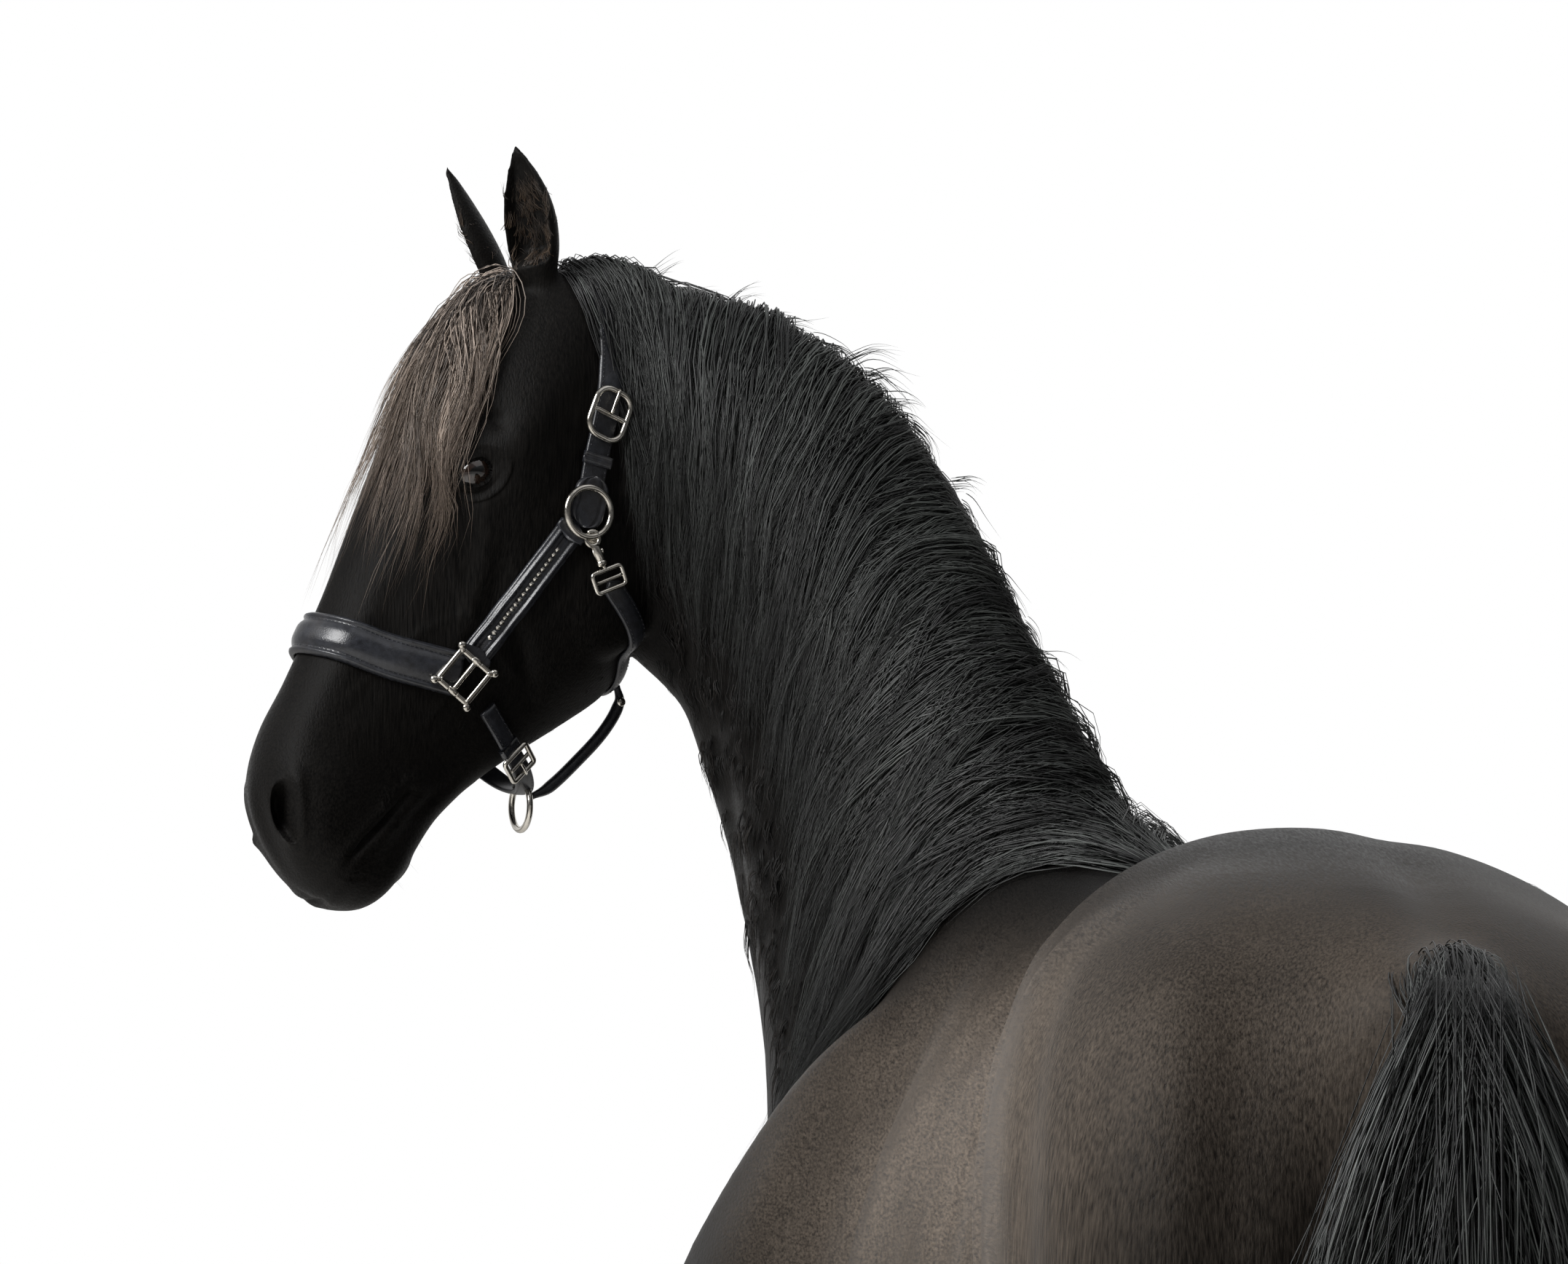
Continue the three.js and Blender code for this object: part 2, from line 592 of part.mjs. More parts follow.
// A flat frame or ring lying over the cheek at a place on the head, turned by an angle.
function fitting(u, degrees, lift, turn) {
  const { point, out } = hug(u, degrees);
  const near = [hug(u + 14, degrees).point, hug(u - 14, degrees).point, hug(u, degrees + 9).point, hug(u, degrees - 9).point];
  const normal = near[0].clone().sub(near[1]).cross(near[2].clone().sub(near[3])).normalize();
  if (normal.dot(out) < 0) normal.negate();
  const down = headVector(1, 0, 0);
  const x = down.clone().addScaledVector(normal, -down.dot(normal)).normalize();
  x.applyAxisAngle(normal, THREE.MathUtils.degToRad(turn));
  return new THREE.Matrix4().makeBasis(x, normal.clone().cross(x), normal).setPosition(along(point, normal, lift));
}
function ringAt(matrix, radius, tube, grow = 0) {
  return solidOf(new THREE.TorusGeometry(radius, tube + grow, 6, 14).applyMatrix4(matrix));
}
// A frame with rounded corners, its bar round, and bars across it if any are named.
function frameAt(matrix, wide, high, tube, bars = []) {
  const corner = 6;
  const points = [];
  for (const [sx, sy] of [[1, 1], [-1, 1], [-1, -1], [1, -1]])
    for (const k of sx === sy ? [0, 1] : [1, 0]) points.push(vec(sx * (wide - k * corner), sy * (high - (1 - k) * corner), 0));
  const curve = new THREE.CurvePath();
  points.forEach((p, i) => curve.add(new THREE.LineCurve3(p, points[(i + 1) % points.length])));
  const rings = points.map((p, i) => {
    const before = points.at(i - 1);
    const after = points[(i + 1) % points.length];
    const side = after.clone().sub(before).normalize().cross(UP).normalize();
    return oval(p, side, UP, { left: tube, right: tube, top: tube, bottom: tube }, 6);
  });
  const parts = [torusOf(rings)];
  for (const [from, to] of bars) {
    const [p, q] = [vec(...from, 0), vec(...to, 0)];
    const side = q.clone().sub(p).normalize().cross(UP).normalize();
    const size = { left: tube, right: tube, top: tube, bottom: tube };
    parts.push(loft([oval(p, side, UP, size, 6), oval(q, side, UP, size, 6)]));
  }
  return transformSolid(union(parts), matrix);
}
function transformSolid(solid, matrix) {
  return solid.transform(matrix.elements);
}
// Rings joined end to end into a closed tube.
function torusOf(rings) {
  const count = rings[0].length;
  const points = rings.flat();
  const index = [];
  for (let r = 0; r < rings.length; r++)
    for (let k = 0; k < count; k++) {
      const next = ((r + 1) % rings.length) * count;
      const [a, b] = [r * count + k, r * count + ((k + 1) % count)];
      const [c, d] = [next + k, next + ((k + 1) % count)];
      index.push(a, b, d, a, d, c);
    }
  let volume = 0;
  for (let i = 0; i < index.length; i += 3)
    volume += points[index[i]].dot(points[index[i + 1]].clone().cross(points[index[i + 2]]));
  if (volume < 0) for (let i = 0; i < index.length; i += 3) [index[i], index[i + 1]] = [index[i + 1], index[i]];
  const geometry = new THREE.BufferGeometry().setFromPoints(points);
  geometry.setIndex(index);
  return solidOf(geometry);
}
// A round or flat cord along points in the head's frame; each point may name the way its flat side faces.
function cord(points, wide, thick, steps = 16) {
  const curve = new THREE.CatmullRomCurve3(points.map(([u, d, l]) => headPoint(u, d, l)));
  const facing = points.map(([, , , u = 0.3, d = -1, l = 0]) => headVector(u, d, l));
  const rings = [];
  for (let i = 0; i <= steps; i++) {
    const t = i / steps;
    const k = Math.min(Math.floor(t * (points.length - 1)), points.length - 2);
    const face = facing[k].clone().lerp(facing[k + 1], t * (points.length - 1) - k);
    const side = curve.getTangent(t).cross(face).normalize();
    const up = side.clone().cross(curve.getTangent(t)).normalize();
    const size = { left: wide, right: wide, top: thick, bottom: thick };
    rings.push(oval(curve.getPoint(t), side, up, { ...size, fullTop: 2.6, fullBottom: 2.6 }, 8));
  }
  return loft(rings);
}

// Halter sizes and places: [u, degrees round the head].
const ringPlace = [192, 107];
const squarePlace = [369, 88];
const halterRooms = [];
const fit = (name, solid, finish, roomy = solid) => {
  halterRooms.push(roomy);
  addNode(name, solid, finish);
};
const room = headRoom.add(neckRoom);
const noseHalf = [[369, 86], [376, 62], [384, 36], [388, 0]];
const noseband = [...noseHalf, ...noseHalf.slice(0, -1).reverse().map(([u, a]) => [u, -a])];
fit("noseband", strap(noseband, { width: 36, thick: 5, ridge: 3, steps: 20 }).subtract(room), "leather");
const crownHalf = [[176, 106], [140, 100], [100, 95], [58, 86], [14, 72], [-18, 48], [-34, 24], [-38, 0]];
const crown = [...crownHalf, ...crownHalf.slice(0, -1).reverse().map(([u, a]) => [u, -a])];
const crownSize = { width: 25, steps: 24 };
fit("crown_strap", strap(crown, crownSize).subtract(room), "leather", strap(crown, crownSize, gap));
const throatHalf = [[236, 129], [250, 142], [270, 158], [290, 172], [296, 180]];
const throat = [...throatHalf, ...throatHalf.slice(0, -1).reverse().map(([u, a]) => [u, 360 - a])];
fit("throat_strap", strap(throat, { width: 20, steps: 14 }).subtract(room), "leather");
for (const [name, side] of Object.entries(sides)) {
  const mirror = (path) => path.map(([u, a]) => [u, side * a]);
  const cheek = mirror([[211, 104], [260, 99], [310, 95], [352, 90]]);
  fit(`cheek_strap_${name}`, strap(cheek, { width: 26, ridge: 1.5, steps: 8 }).subtract(room), "leather");
  const ringMatrix = fitting(ringPlace[0], side * ringPlace[1], 10.2, 0);
  fit(`cheek_ring_${name}`, ringAt(ringMatrix, 22, 3), "steel", ringAt(ringMatrix, 22, 3, gap));
  const square = fitting(squarePlace[0], side * squarePlace[1], 13, side * -12);
  fit(`cheek_square_${name}`, frameAt(square, 21, 21, 3.2, [[[-21, 0], [21, 0]]]), "steel");
  const loop = fitting(234, side * 127, 8, side * 48);
  const hook = fitting(219, side * 118, 8, side * 48);
  const body = solidOf(new THREE.CapsuleGeometry(4.5, 24, 3, 8).rotateZ(Math.PI / 2).applyMatrix4(hook));
  const eyeLoop = frameAt(loop.clone().multiply(new THREE.Matrix4().makeTranslation(1, 0, 0)), 8, 14, 2.4);
  fit(`throat_snap_${name}`, body.add(eyeLoop).subtract(ringAt(ringMatrix, 22, 3, gap)), "steel");
}
fit("crown_buckle", frameAt(fitting(104, 95, 9.5, 5), 22, 17, 3, [[[0, -17], [0, 17]]]), "steel");

// Under the jaw: a strap from square to square, the ring that hangs from it, and a cord back to the throat.
const chinPath = [[384, -118, 68, 0, -0.2, 1], [398, -150, 56, 0, -0.5, 0.9], [412, -187, 32, 0.4, -0.7, 0.5], [419, -203, 0, 0.899, -0.438, 0]];
const chin = [...chinPath, ...chinPath.slice(0, -1).reverse().map(([u, d, l, nu, nd, nl]) => [u, d, -l, nu, nd, -nl])];
const chinStrap = cord(chin, 9, 2, 12);
fit("chin_strap", chinStrap.subtract(room), "leather");
const down = headVector(0.899, -0.438, 0).normalize();
const side3 = headVector(0, 0, 1);
const ringCentre = along(headPoint(419, -203, 0), down, 13);
const chinRingMatrix = new THREE.Matrix4().makeBasis(down, side3.clone().cross(down), side3).setPosition(ringCentre);
fit("chin_ring", ringAt(chinRingMatrix, 21, 3), "steel");
fit(
  "jaw_cord",
  cord([[304, -254, 0], [332, -251, 0], [370, -239, 0], [404, -225, 0]], 5.5, 5.5, 8).subtract(ringAt(chinRingMatrix, 21, 3, gap)),
  "leather",
);

// Long hair: flat tapered locks, laid in seeded order along their lie and sunk at the root.
function seeded(seed) {
  let state = seed;
  return () => {
    state = (state * 1664525 + 1013904223) % 4294967296;
    return state / 4294967296;
  };
}
const lockShape = [0.62, 1, 0.9, 0.62]; // share of the full width at each ring before the tip
function lock(points, outs, width, thick) {
  const rings = [];
  const last = points.length - 1;
  for (let i = 0; i < last; i++) {
    const run = points[i + 1].clone().sub(points[Math.max(i - 1, 0)]);
    const side = run.clone().cross(outs[i]).normalize();
    const out = side.clone().cross(run).normalize();
    const spread = (width / 2) * lockShape[Math.min(i, lockShape.length - 1)];
    const deep = (thick / 2) * lockShape[Math.min(i, lockShape.length - 1)];
    rings.push([along(points[i], side, spread), along(points[i], out, deep), along(points[i], side, -spread)]);
  }
  rings.push(rings.at(-1).map((p) => points[last].clone().lerp(p, 0.06)));
  return loft(rings);
}

// A path over the neck from the crest: it falls as the ground pulls it, and sweep carries it up the neck.
function fallPath(t, a, { length, lift, sweep, wave = 0, rings = 4 }) {
  const points = [neckSurface(t, a, -7)];
  const outs = [neckSurface(t, a, 10).sub(neckSurface(t, a, 0)).normalize()];
  const steps = rings * 3;
  for (let k = 1; k <= steps; k++) {
    const here = neckSurface(t, a, 0);
    const alongNeck = neckSurface(Math.min(t + 0.05, 8), a, 0).sub(neckSurface(Math.max(t - 0.05, 0), a, 0)).divideScalar(0.1);
    const round = neckSurface(t, a - 2, 0).sub(here).divideScalar(2);
    const pull = vec(0, 0, -1).addScaledVector(alongNeck.clone().normalize(), sweep + wave * Math.sin(k * 0.9 + t * 5));
    if (k < 4) pull.addScaledVector(round.clone().normalize(), 1.2);
    const [tt, rr, tr] = [alongNeck.dot(alongNeck), round.dot(round), alongNeck.dot(round)];
    const [pt, pr] = [pull.dot(alongNeck), pull.dot(round)];
    const both = tt * rr - tr * tr;
    let [dt, da] = [(pt * rr - pr * tr) / both, (pr * tt - pt * tr) / both];
    const step = alongNeck.clone().multiplyScalar(dt).addScaledVector(round, da).length();
    const scale = length / steps / Math.max(step, 1e-6);
    t = THREE.MathUtils.clamp(t + dt * scale, 0.02, 7.9);
    a -= da * scale;
    if (k % 3 === 0) {
      const share = k / steps;
      points.push(neckSurface(t, a, lift * (1 - 0.15 * share)));
      outs.push(neckSurface(t, a, 10).sub(neckSurface(t, a, 0)).normalize());
    }
  }
  return [points, outs];
}
// Mane layers: count, from and to along the neck, length, width, thickness, lift, angle of the roots.
const maneLayers = [
  [13, 0.8, 7.0, 420, 90, 24, 14, 76],
  [5, 1.4, 6.6, 300, 104, 24, 22, 86],
];
function mane() {
  const parts = [];
  const rand = seeded(7);
  for (const [count, from, to, length, width, thick, lift, angle] of maneLayers)
    for (let i = 0; i < count; i++) {
      const t = from + ((to - from) * (i + 0.5 + 0.4 * (rand() - 0.5))) / count;
      const sweep = 0.75 * (1 - THREE.MathUtils.smoothstep(t, 1, 4.5));
      const reach = length * (0.82 + 0.3 * rand()) * (0.72 + 0.28 * THREE.MathUtils.smoothstep(t, 0, 3));
      const [points, outs] = fallPath(t, angle + 6 * (rand() - 0.5), {
        length: reach,
        lift: lift + 3 * rand(),
        sweep: sweep + 0.12 * (rand() - 0.5),
        wave: 0.25,
      });
      parts.push(lock(points, outs, width * (0.85 + 0.3 * rand()), thick));
    }
  // A few locks that fall on the right, near the withers.
  for (let i = 0; i < 2; i++) {
    const t = 1 + i * 0.9;
    const points = [0, 1, 2, 3].map((k) => neckSurface(t + 0.12 * k, 88 + k * 17, k ? 4 - k : -7));
    const outs = [0, 1, 2, 3].map((k) => neckSurface(t, 88 + k * 17, 10).sub(neckSurface(t, 88 + k * 17, 0)).normalize());
    parts.push(lock(points, outs, 60, 16));
  }
  return union(parts);
}
// Forelock: each lock runs down the brow from between the ears; v is the place across the head.
function forelock() {
  const parts = [];
  const rand = seeded(19);
  const count = 6;
  for (let i = 0; i < count; i++) {
    const across = -1 + (2 * (i + 0.5)) / count;
    const long = (300 - 70 * Math.abs(across)) * (0.8 + 0.35 * rand());
    const lift = 15 + 4 * rand();
    const points = [];
    const outs = [];
    for (let k = 0; k <= 4; k++) {
      const u = 4 + (long * k) / 4;
      const v = 0.02 + across * (0.1 + 0.26 * Math.sin((Math.PI * k) / 6.5)) + 0.03 * Math.sin(k * 1.7 + i * 2);
      points.push(headSurface(u, v, k === 0 ? -9 : lift * (1 - 0.06 * k)));
      outs.push(headSurface(u, v, 10).sub(headSurface(u, v, 0)).normalize());
    }
    parts.push(lock(points, outs, 50 + 10 * rand(), 20));
  }
  return union(parts);
}
// The tail: a bony dock, a slim core of hair half as wide as the whole, and locks round it.
const tailRows = [
  [72, 1492, 27, 24],
  [5, 1492, 34, 30],
  [-42, 1455, 44, 36],
  [-72, 1375, 50, 34],
  [-84, 1250, 54, 30],
  [-88, 1050, 58, 28],
  [-86, 800, 54, 24],
  [-78, 560, 40, 18],
  [-68, 380, 16, 8],
];
const tailCurve = new THREE.CatmullRomCurve3(tailRows.map(([s, z]) => vec(0, -s, z)));
function tail() {
  const parts = [
    loft(
      tailRows.map(([, , half, deep], i) => {
        const t = i / (tailRows.length - 1);
        const side = vec(1, 0, 0);
        const out = side.clone().cross(tailCurve.getTangent(t)).normalize();
        return oval(tailCurve.getPoint(t), side, out, { left: half, right: half, top: deep, bottom: deep }, 10);
      }),
    ),
  ];
  const rand = seeded(31);
  const count = 12;
  for (let i = 0; i < count; i++) {
    const ring = ((i * 0.618) % 1) * 2 * Math.PI;
    const rootZ = 1468 - 330 * (i / count) ** 1.3;
    const [sx, sy] = [Math.cos(ring), Math.sin(ring)];
    const tipZ = 70 + 420 * rand() ** 1.4 + (i < 4 ? 330 : 0);
    const spread = 1.05 + 0.35 * rand();
    const points = [];
    const outs = [];
    for (let k = 0; k <= 4; k++) {
      const share = k / 4;
      const z = rootZ + (tipZ - rootZ) * share;
      const belly = Math.sin(Math.PI * Math.min(0.12 + 0.62 * ((1480 - z) / 1400), 1));
      const x = sx * (k === 0 ? 22 : (36 + 78 * belly) * spread * (1 - 0.35 * share ** 3));
      const back = z > 1380 ? 40 + (1480 - z) * 0.38 : 80;
      const y = back + 8 * share + (sy > 0 ? sy * (k === 0 ? 12 : 22 + 32 * belly) : sy * (k === 0 ? 12 : 14 + 26 * belly));
      points.push(vec(x + 6 * Math.sin(k * 1.9 + i), y, z));
      outs.push(vec(sx, sy, 0.05));
    }
    parts.push(lock(points, outs, 100 + 20 * rand(), 46));
  }
  return union(parts);
}
// Feather: locks from the back and sides of the cannon and pastern, falling over the hoof.
const featherLocks = [
  // degrees from straight back, root height, tip height, reach beyond the leg at the tip
  [0, 330, 60, 28],
  [38, 260, 22, 32],
  [-38, 260, 22, 32],
  [90, 215, 40, 22],
  [-90, 215, 40, 22],
];
function feather(rows, line, side, heel) {
  const frame = legFrame(line, side);
  const parts = [];
  const rand = seeded(50 + side);
  for (const [degrees, rootZ, tipZ, reach] of featherLocks) {
    const a = THREE.MathUtils.degToRad(degrees + 8 * (rand() - 0.5));
    const [across, back] = [Math.sin(a), Math.cos(a)];
    const points = [];
    const outs = [];
    for (let k = 0; k <= 3; k++) {
      const z = rootZ + ((tipZ - rootZ) * k) / 3;
      const [rear, front, inner, outer] = readRows([...rows].reverse(), Math.max(z, 150));
      const low = THREE.MathUtils.smoothstep(z, 20, 170);
      const middle = low * ((rear + front) / 2) + (1 - low) * (heel + 56);
      const [halfF, halfL] = [low * ((front - rear) / 2) + (1 - low) * 74, low * ((outer - inner) / 2) + (1 - low) * 62];
      const away = k === 0 ? -10 : (reach * k) / 3;
      const l = low * ((inner + outer) / 2) + (1 - low) * legCentre + across * (halfL + away);
      points.push(frame.at(middle - back * (halfF + away), l, z));
      outs.push(frame.outward.clone().multiplyScalar(across).addScaledVector(frame.forward, -back));
    }
    parts.push(lock(points, outs, 74, 28));
  }
  return union(parts);
}

const halterRoom = union(halterRooms);
const earRoom = ear(1, gap).add(ear(-1, gap));
const earSolids = {};
for (const [name, side] of Object.entries(sides)) {
  earSolids[name] = ear(side).subtract(headRoom);
  addNode(`ear_${name}`, earSolids[name], "coat");
  addNode(`eye_${name}`, eyeBall(side, 0), "eye");
}
addNode("torso", torsoSolid, "coat");
const neckBody = neckForm.subtract(torsoRoom);
addNode("neck", neckBody.add(mane().subtract(torsoRoom)).subtract(headRoom).subtract(earRoom).subtract(halterRoom), "coat");
addNode("head", headForm.add(forelock().subtract(earRoom)).subtract(headHollows()).subtract(halterRoom), "coat");
const legRooms = [];
for (const [name, side] of Object.entries(sides)) {
  for (const [which, rows, line, cut] of [
    ["fore", foreRows, foreLine, foreCut],
    ["hind", hindRows, hindLine, hindCut],
  ]) {
    const heel = hoofHeel[which];
    const leg = lowerLeg(rows, line, side, cut, heel).add(feather(rows, line, side, heel));
    legRooms.push(lowerLeg(rows, line, side, cut, heel, gap));
    addNode(`${which}leg_${name}`, leg.subtract(hoof(line, side, heel, gap)), "coat");
    addNode(`hoof_${which}_${name}`, hoof(line, side, heel, 0), "horn");
  }
}
addNode("tail", tail().subtract(torsoRoom).subtract(union(legRooms)), "hair");

const box = new THREE.Box3().setFromObject(group);
const centre = box.getCenter(vec(0, 0, 0));
group.position.set(-centre.x, -centre.y, 0);

export default group;
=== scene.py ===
import math
from functools import partial

import bmesh
import bpy
import numpy as np
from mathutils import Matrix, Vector
from mathutils.bvhtree import BVHTree


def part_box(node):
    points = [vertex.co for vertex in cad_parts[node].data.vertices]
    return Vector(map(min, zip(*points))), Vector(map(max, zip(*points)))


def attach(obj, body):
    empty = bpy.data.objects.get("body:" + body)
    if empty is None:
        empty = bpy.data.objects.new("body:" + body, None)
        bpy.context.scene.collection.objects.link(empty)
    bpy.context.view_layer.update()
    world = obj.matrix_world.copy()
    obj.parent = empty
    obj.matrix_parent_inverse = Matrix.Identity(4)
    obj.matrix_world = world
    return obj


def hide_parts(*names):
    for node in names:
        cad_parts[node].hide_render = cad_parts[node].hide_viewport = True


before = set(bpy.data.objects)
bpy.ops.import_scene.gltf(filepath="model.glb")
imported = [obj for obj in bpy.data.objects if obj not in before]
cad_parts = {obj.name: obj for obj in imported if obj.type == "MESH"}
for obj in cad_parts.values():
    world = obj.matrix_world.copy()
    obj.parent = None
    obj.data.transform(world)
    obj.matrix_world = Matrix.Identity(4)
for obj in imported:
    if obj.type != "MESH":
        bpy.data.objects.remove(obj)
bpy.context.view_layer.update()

rng = np.random.default_rng(11)


# ---- curves and frames
def read_rows(rows, at):
    """The columns of rows [at, a, b, ...] at each place, by a smooth curve through them."""
    rows = np.array(rows, float)
    if rows[0, 0] > rows[-1, 0]:
        rows = rows[::-1]
    last = len(rows) - 1
    x = np.clip(np.atleast_1d(np.asarray(at, float)), rows[0, 0], rows[-1, 0])
    i = np.clip(np.searchsorted(rows[1:, 0], x, side="left"), 0, last - 1)
    p, q = rows[i], rows[i + 1]
    before, after = rows[np.maximum(i - 1, 0)], rows[np.minimum(i + 2, last)]
    h = (q[:, 0] - p[:, 0])[:, None]
    t = (x - p[:, 0])[:, None] / h
    a, b = p[:, 1:], q[:, 1:]
    slope_a = (b - before[:, 1:]) / (q[:, 0] - before[:, 0])[:, None]
    slope_b = (after[:, 1:] - a) / (after[:, 0] - p[:, 0])[:, None]
    return (
        a * (1 + 2 * t) * (1 - t) ** 2
        + b * t * t * (3 - 2 * t)
        + h * (slope_a * t * (1 - t) ** 2 - slope_b * t * t * (1 - t))
    )


def smoothstep(x, low, high):
    t = np.clip((np.asarray(x, float) - low) / (high - low), 0, 1)
    return t * t * (3 - 2 * t)


def unit(v):
    v = np.asarray(v, float)
    return v / np.maximum(np.linalg.norm(v, axis=-1, keepdims=True), 1e-9)


def length_along(points):
    """The length of a line from its start to each of its points."""
    return np.concatenate([[0], np.cumsum(np.linalg.norm(np.diff(points, axis=0), axis=1))])


TRUNK_BEND = math.radians(24)  # how far the trunk turns to the left from the loins to the shoulders
HIP_ROLL = 0.18  # how much the croup drops to the side of the resting hind leg


def heading(s):
    return TRUNK_BEND * smoothstep(s, 450, 1250)


SPINE_STEP = 10
_h = heading(np.arange(0, 1800, SPINE_STEP) + SPINE_STEP / 2)
SPINE = np.concatenate([[[0, 0]], np.cumsum(np.stack([np.sin(_h), -np.cos(_h)], 1) * SPINE_STEP, 0)])


def body_point(s, left, z):
    s, left, z = np.broadcast_arrays(*[np.asarray(a, float) for a in (s, left, z)])
    h = heading(s)
    k = np.clip(np.floor(s / SPINE_STEP).astype(int), 0, len(SPINE) - 2)
    run = s - k * SPINE_STEP
    x = SPINE[k, 0] + np.sin(h) * run + np.cos(h) * left
    y = SPINE[k, 1] - np.cos(h) * run + np.sin(h) * left
    drop = HIP_ROLL * left * (1 - smoothstep(s, 500, 1000)) * smoothstep(z, 1000, 1450)
    return np.stack([x, y, z + drop], -1)


def oval(count, left, right, top, bottom, full_top, full_bottom):
    """Offsets to the side and up of rings of a superellipse with its own reach and fullness on each side."""
    a = (np.arange(count) + 0.5) / count * 2 * math.pi
    c, s = np.cos(a)[None], np.sin(a)[None]
    left, right, top, bottom, full_top, full_bottom = [
        np.asarray(v, float).reshape(-1, 1) for v in (left, right, top, bottom, full_top, full_bottom)
    ]
    power = 2 / np.where(s > 0, full_top, full_bottom)
    x = np.sign(c) * np.abs(c) ** power * np.where(c > 0, left, right)
    y = np.sign(s) * np.abs(s) ** power * np.where(s > 0, top, bottom)
    return x, y


# ---- the forms' rows, as in the solids
TRUNK_ROWS = [
    [28, 1455, 1250, 60, 1370, 2.0, 2.0],
    [60, 1500, 1150, 120, 1360, 2.0, 2.0],
    [140, 1545, 1060, 190, 1340, 2.0, 2.0],
    [260, 1576, 1010, 240, 1320, 2.1, 2.0],
    [400, 1598, 975, 272, 1320, 2.2, 2.0],
    [530, 1598, 945, 280, 1310, 2.2, 2.0],
    [660, 1583, 915, 276, 1250, 2.2, 2.1],
    [800, 1566, 882, 292, 1200, 2.2, 2.2],
    [950, 1556, 862, 305, 1180, 2.1, 2.2],
    [1090, 1574, 860, 296, 1180, 1.9, 2.2],
    [1190, 1606, 868, 272, 1170, 1.7, 2.1],
    [1270, 1625, 878, 250, 1160, 1.6, 2.0],
    [1370, 1590, 905, 238, 1160, 1.7, 2.0],
    [1470, 1480, 960, 215, 1170, 1.9, 2.0],
    [1560, 1350, 1045, 165, 1185, 2.0, 2.0],
    [1610, 1250, 1120, 80, 1190, 2.0, 2.0],
]
FORE_ROWS = [
    [1500, -110, 30, 60, 150, 2.0],
    [1440, -140, 60, 60, 215, 2.0],
    [1340, -150, 150, 60, 262, 2.1],
    [1240, -140, 238, 60, 286, 2.2],
    [1150, -130, 268, 60, 292, 2.2],
    [1080, -122, 250, 60, 284, 2.2],
    [1010, -125, 185, 60, 270, 2.2],
    [940, -122, 122, 70, 252, 2.1],
    [870, -100, 92, 86, 234, 2.1],
    [780, -76, 76, 100, 216, 2.1],
    [690, -62, 66, 108, 203, 2.1],
    [600, -55, 58, 112, 196, 2.1],
    [545, -54, 58, 108, 198, 2.3],
    [500, -57, 66, 104, 200, 2.6],
    [455, -56, 60, 108, 196, 2.4],
    [415, -50, 44, 120, 186, 2.2],
    [340, -46, 36, 126, 180, 2.2],
    [270, -50, 40, 122, 184, 2.2],
    [225, -56, 50, 116, 190, 2.2],
    [190, -42, 58, 120, 186, 2.2],
    [150, -14, 78, 122, 184, 2.2],
]
FORE_LINE = 1332
HIND_ROWS = [
    [1545, 190, 470, 10, 150, 2.0],
    [1480, 90, 545, 10, 235, 2.1],
    [1390, 30, 575, 10, 278, 2.2],
    [1290, -2, 580, 10, 290, 2.2],
    [1190, -6, 585, 15, 284, 2.2],
    [1090, 22, 598, 30, 268, 2.2],
    [1010, 60, 585, 50, 250, 2.2],
    [925, 88, 500, 70, 230, 2.2],
    [840, 80, 415, 85, 214, 2.1],
    [760, 52, 335, 96, 203, 2.1],
    [690, 12, 262, 102, 196, 2.2],
    [640, -16, 222, 104, 193, 2.3],
    [590, -14, 204, 98, 198, 2.5],
    [540, 2, 186, 100, 196, 2.4],
    [485, 26, 156, 112, 186, 2.2],
    [420, 40, 134, 120, 178, 2.2],
    [340, 44, 128, 122, 176, 2.2],
    [270, 38, 134, 118, 180, 2.2],
    [225, 32, 146, 112, 186, 2.2],
    [190, 46, 154, 116, 182, 2.2],
    [150, 76, 172, 118, 180, 2.2],
]
HIND_LINE = 0
HOOF_ROWS = [[0, 0, -20, 158, 68], [30, 24, -12, 136, 64], [92, 52, 8, 92, 50]]
LEG_CENTRE = 153
HOOF_HEEL = {"fore": 0, "hind": 92}
HOOF_LEVELS = [[level, *row] for level, row in zip((0, 0.35, 1), HOOF_ROWS)]
NECK_ROWS = [
    [0, 90, -1160, 1560, 265, -1560, 1080, 205, 1.7, 2.0],
    [1, 125, -1265, 1640, 338, -1605, 1220, 180, 1.6, 2.1],
    [2, 172, -1350, 1745, 366, -1625, 1370, 150, 1.6, 2.2],
    [3, 222, -1430, 1868, 397, -1635, 1500, 130, 1.6, 2.2],
    [4, 275, -1500, 1985, 432, -1640, 1610, 116, 1.7, 2.2],
    [5, 355, -1552, 2078, 470, -1640, 1700, 106, 1.8, 2.2],
    [6, 450, -1582, 2124, 500, -1632, 1765, 98, 1.9, 2.2],
    [7, 545, -1590, 2141, 550, -1620, 1815, 88, 2.0, 2.2],
    [8, 615, -1588, 2120, 590, -1610, 1870, 66, 2.0, 2.2],
]
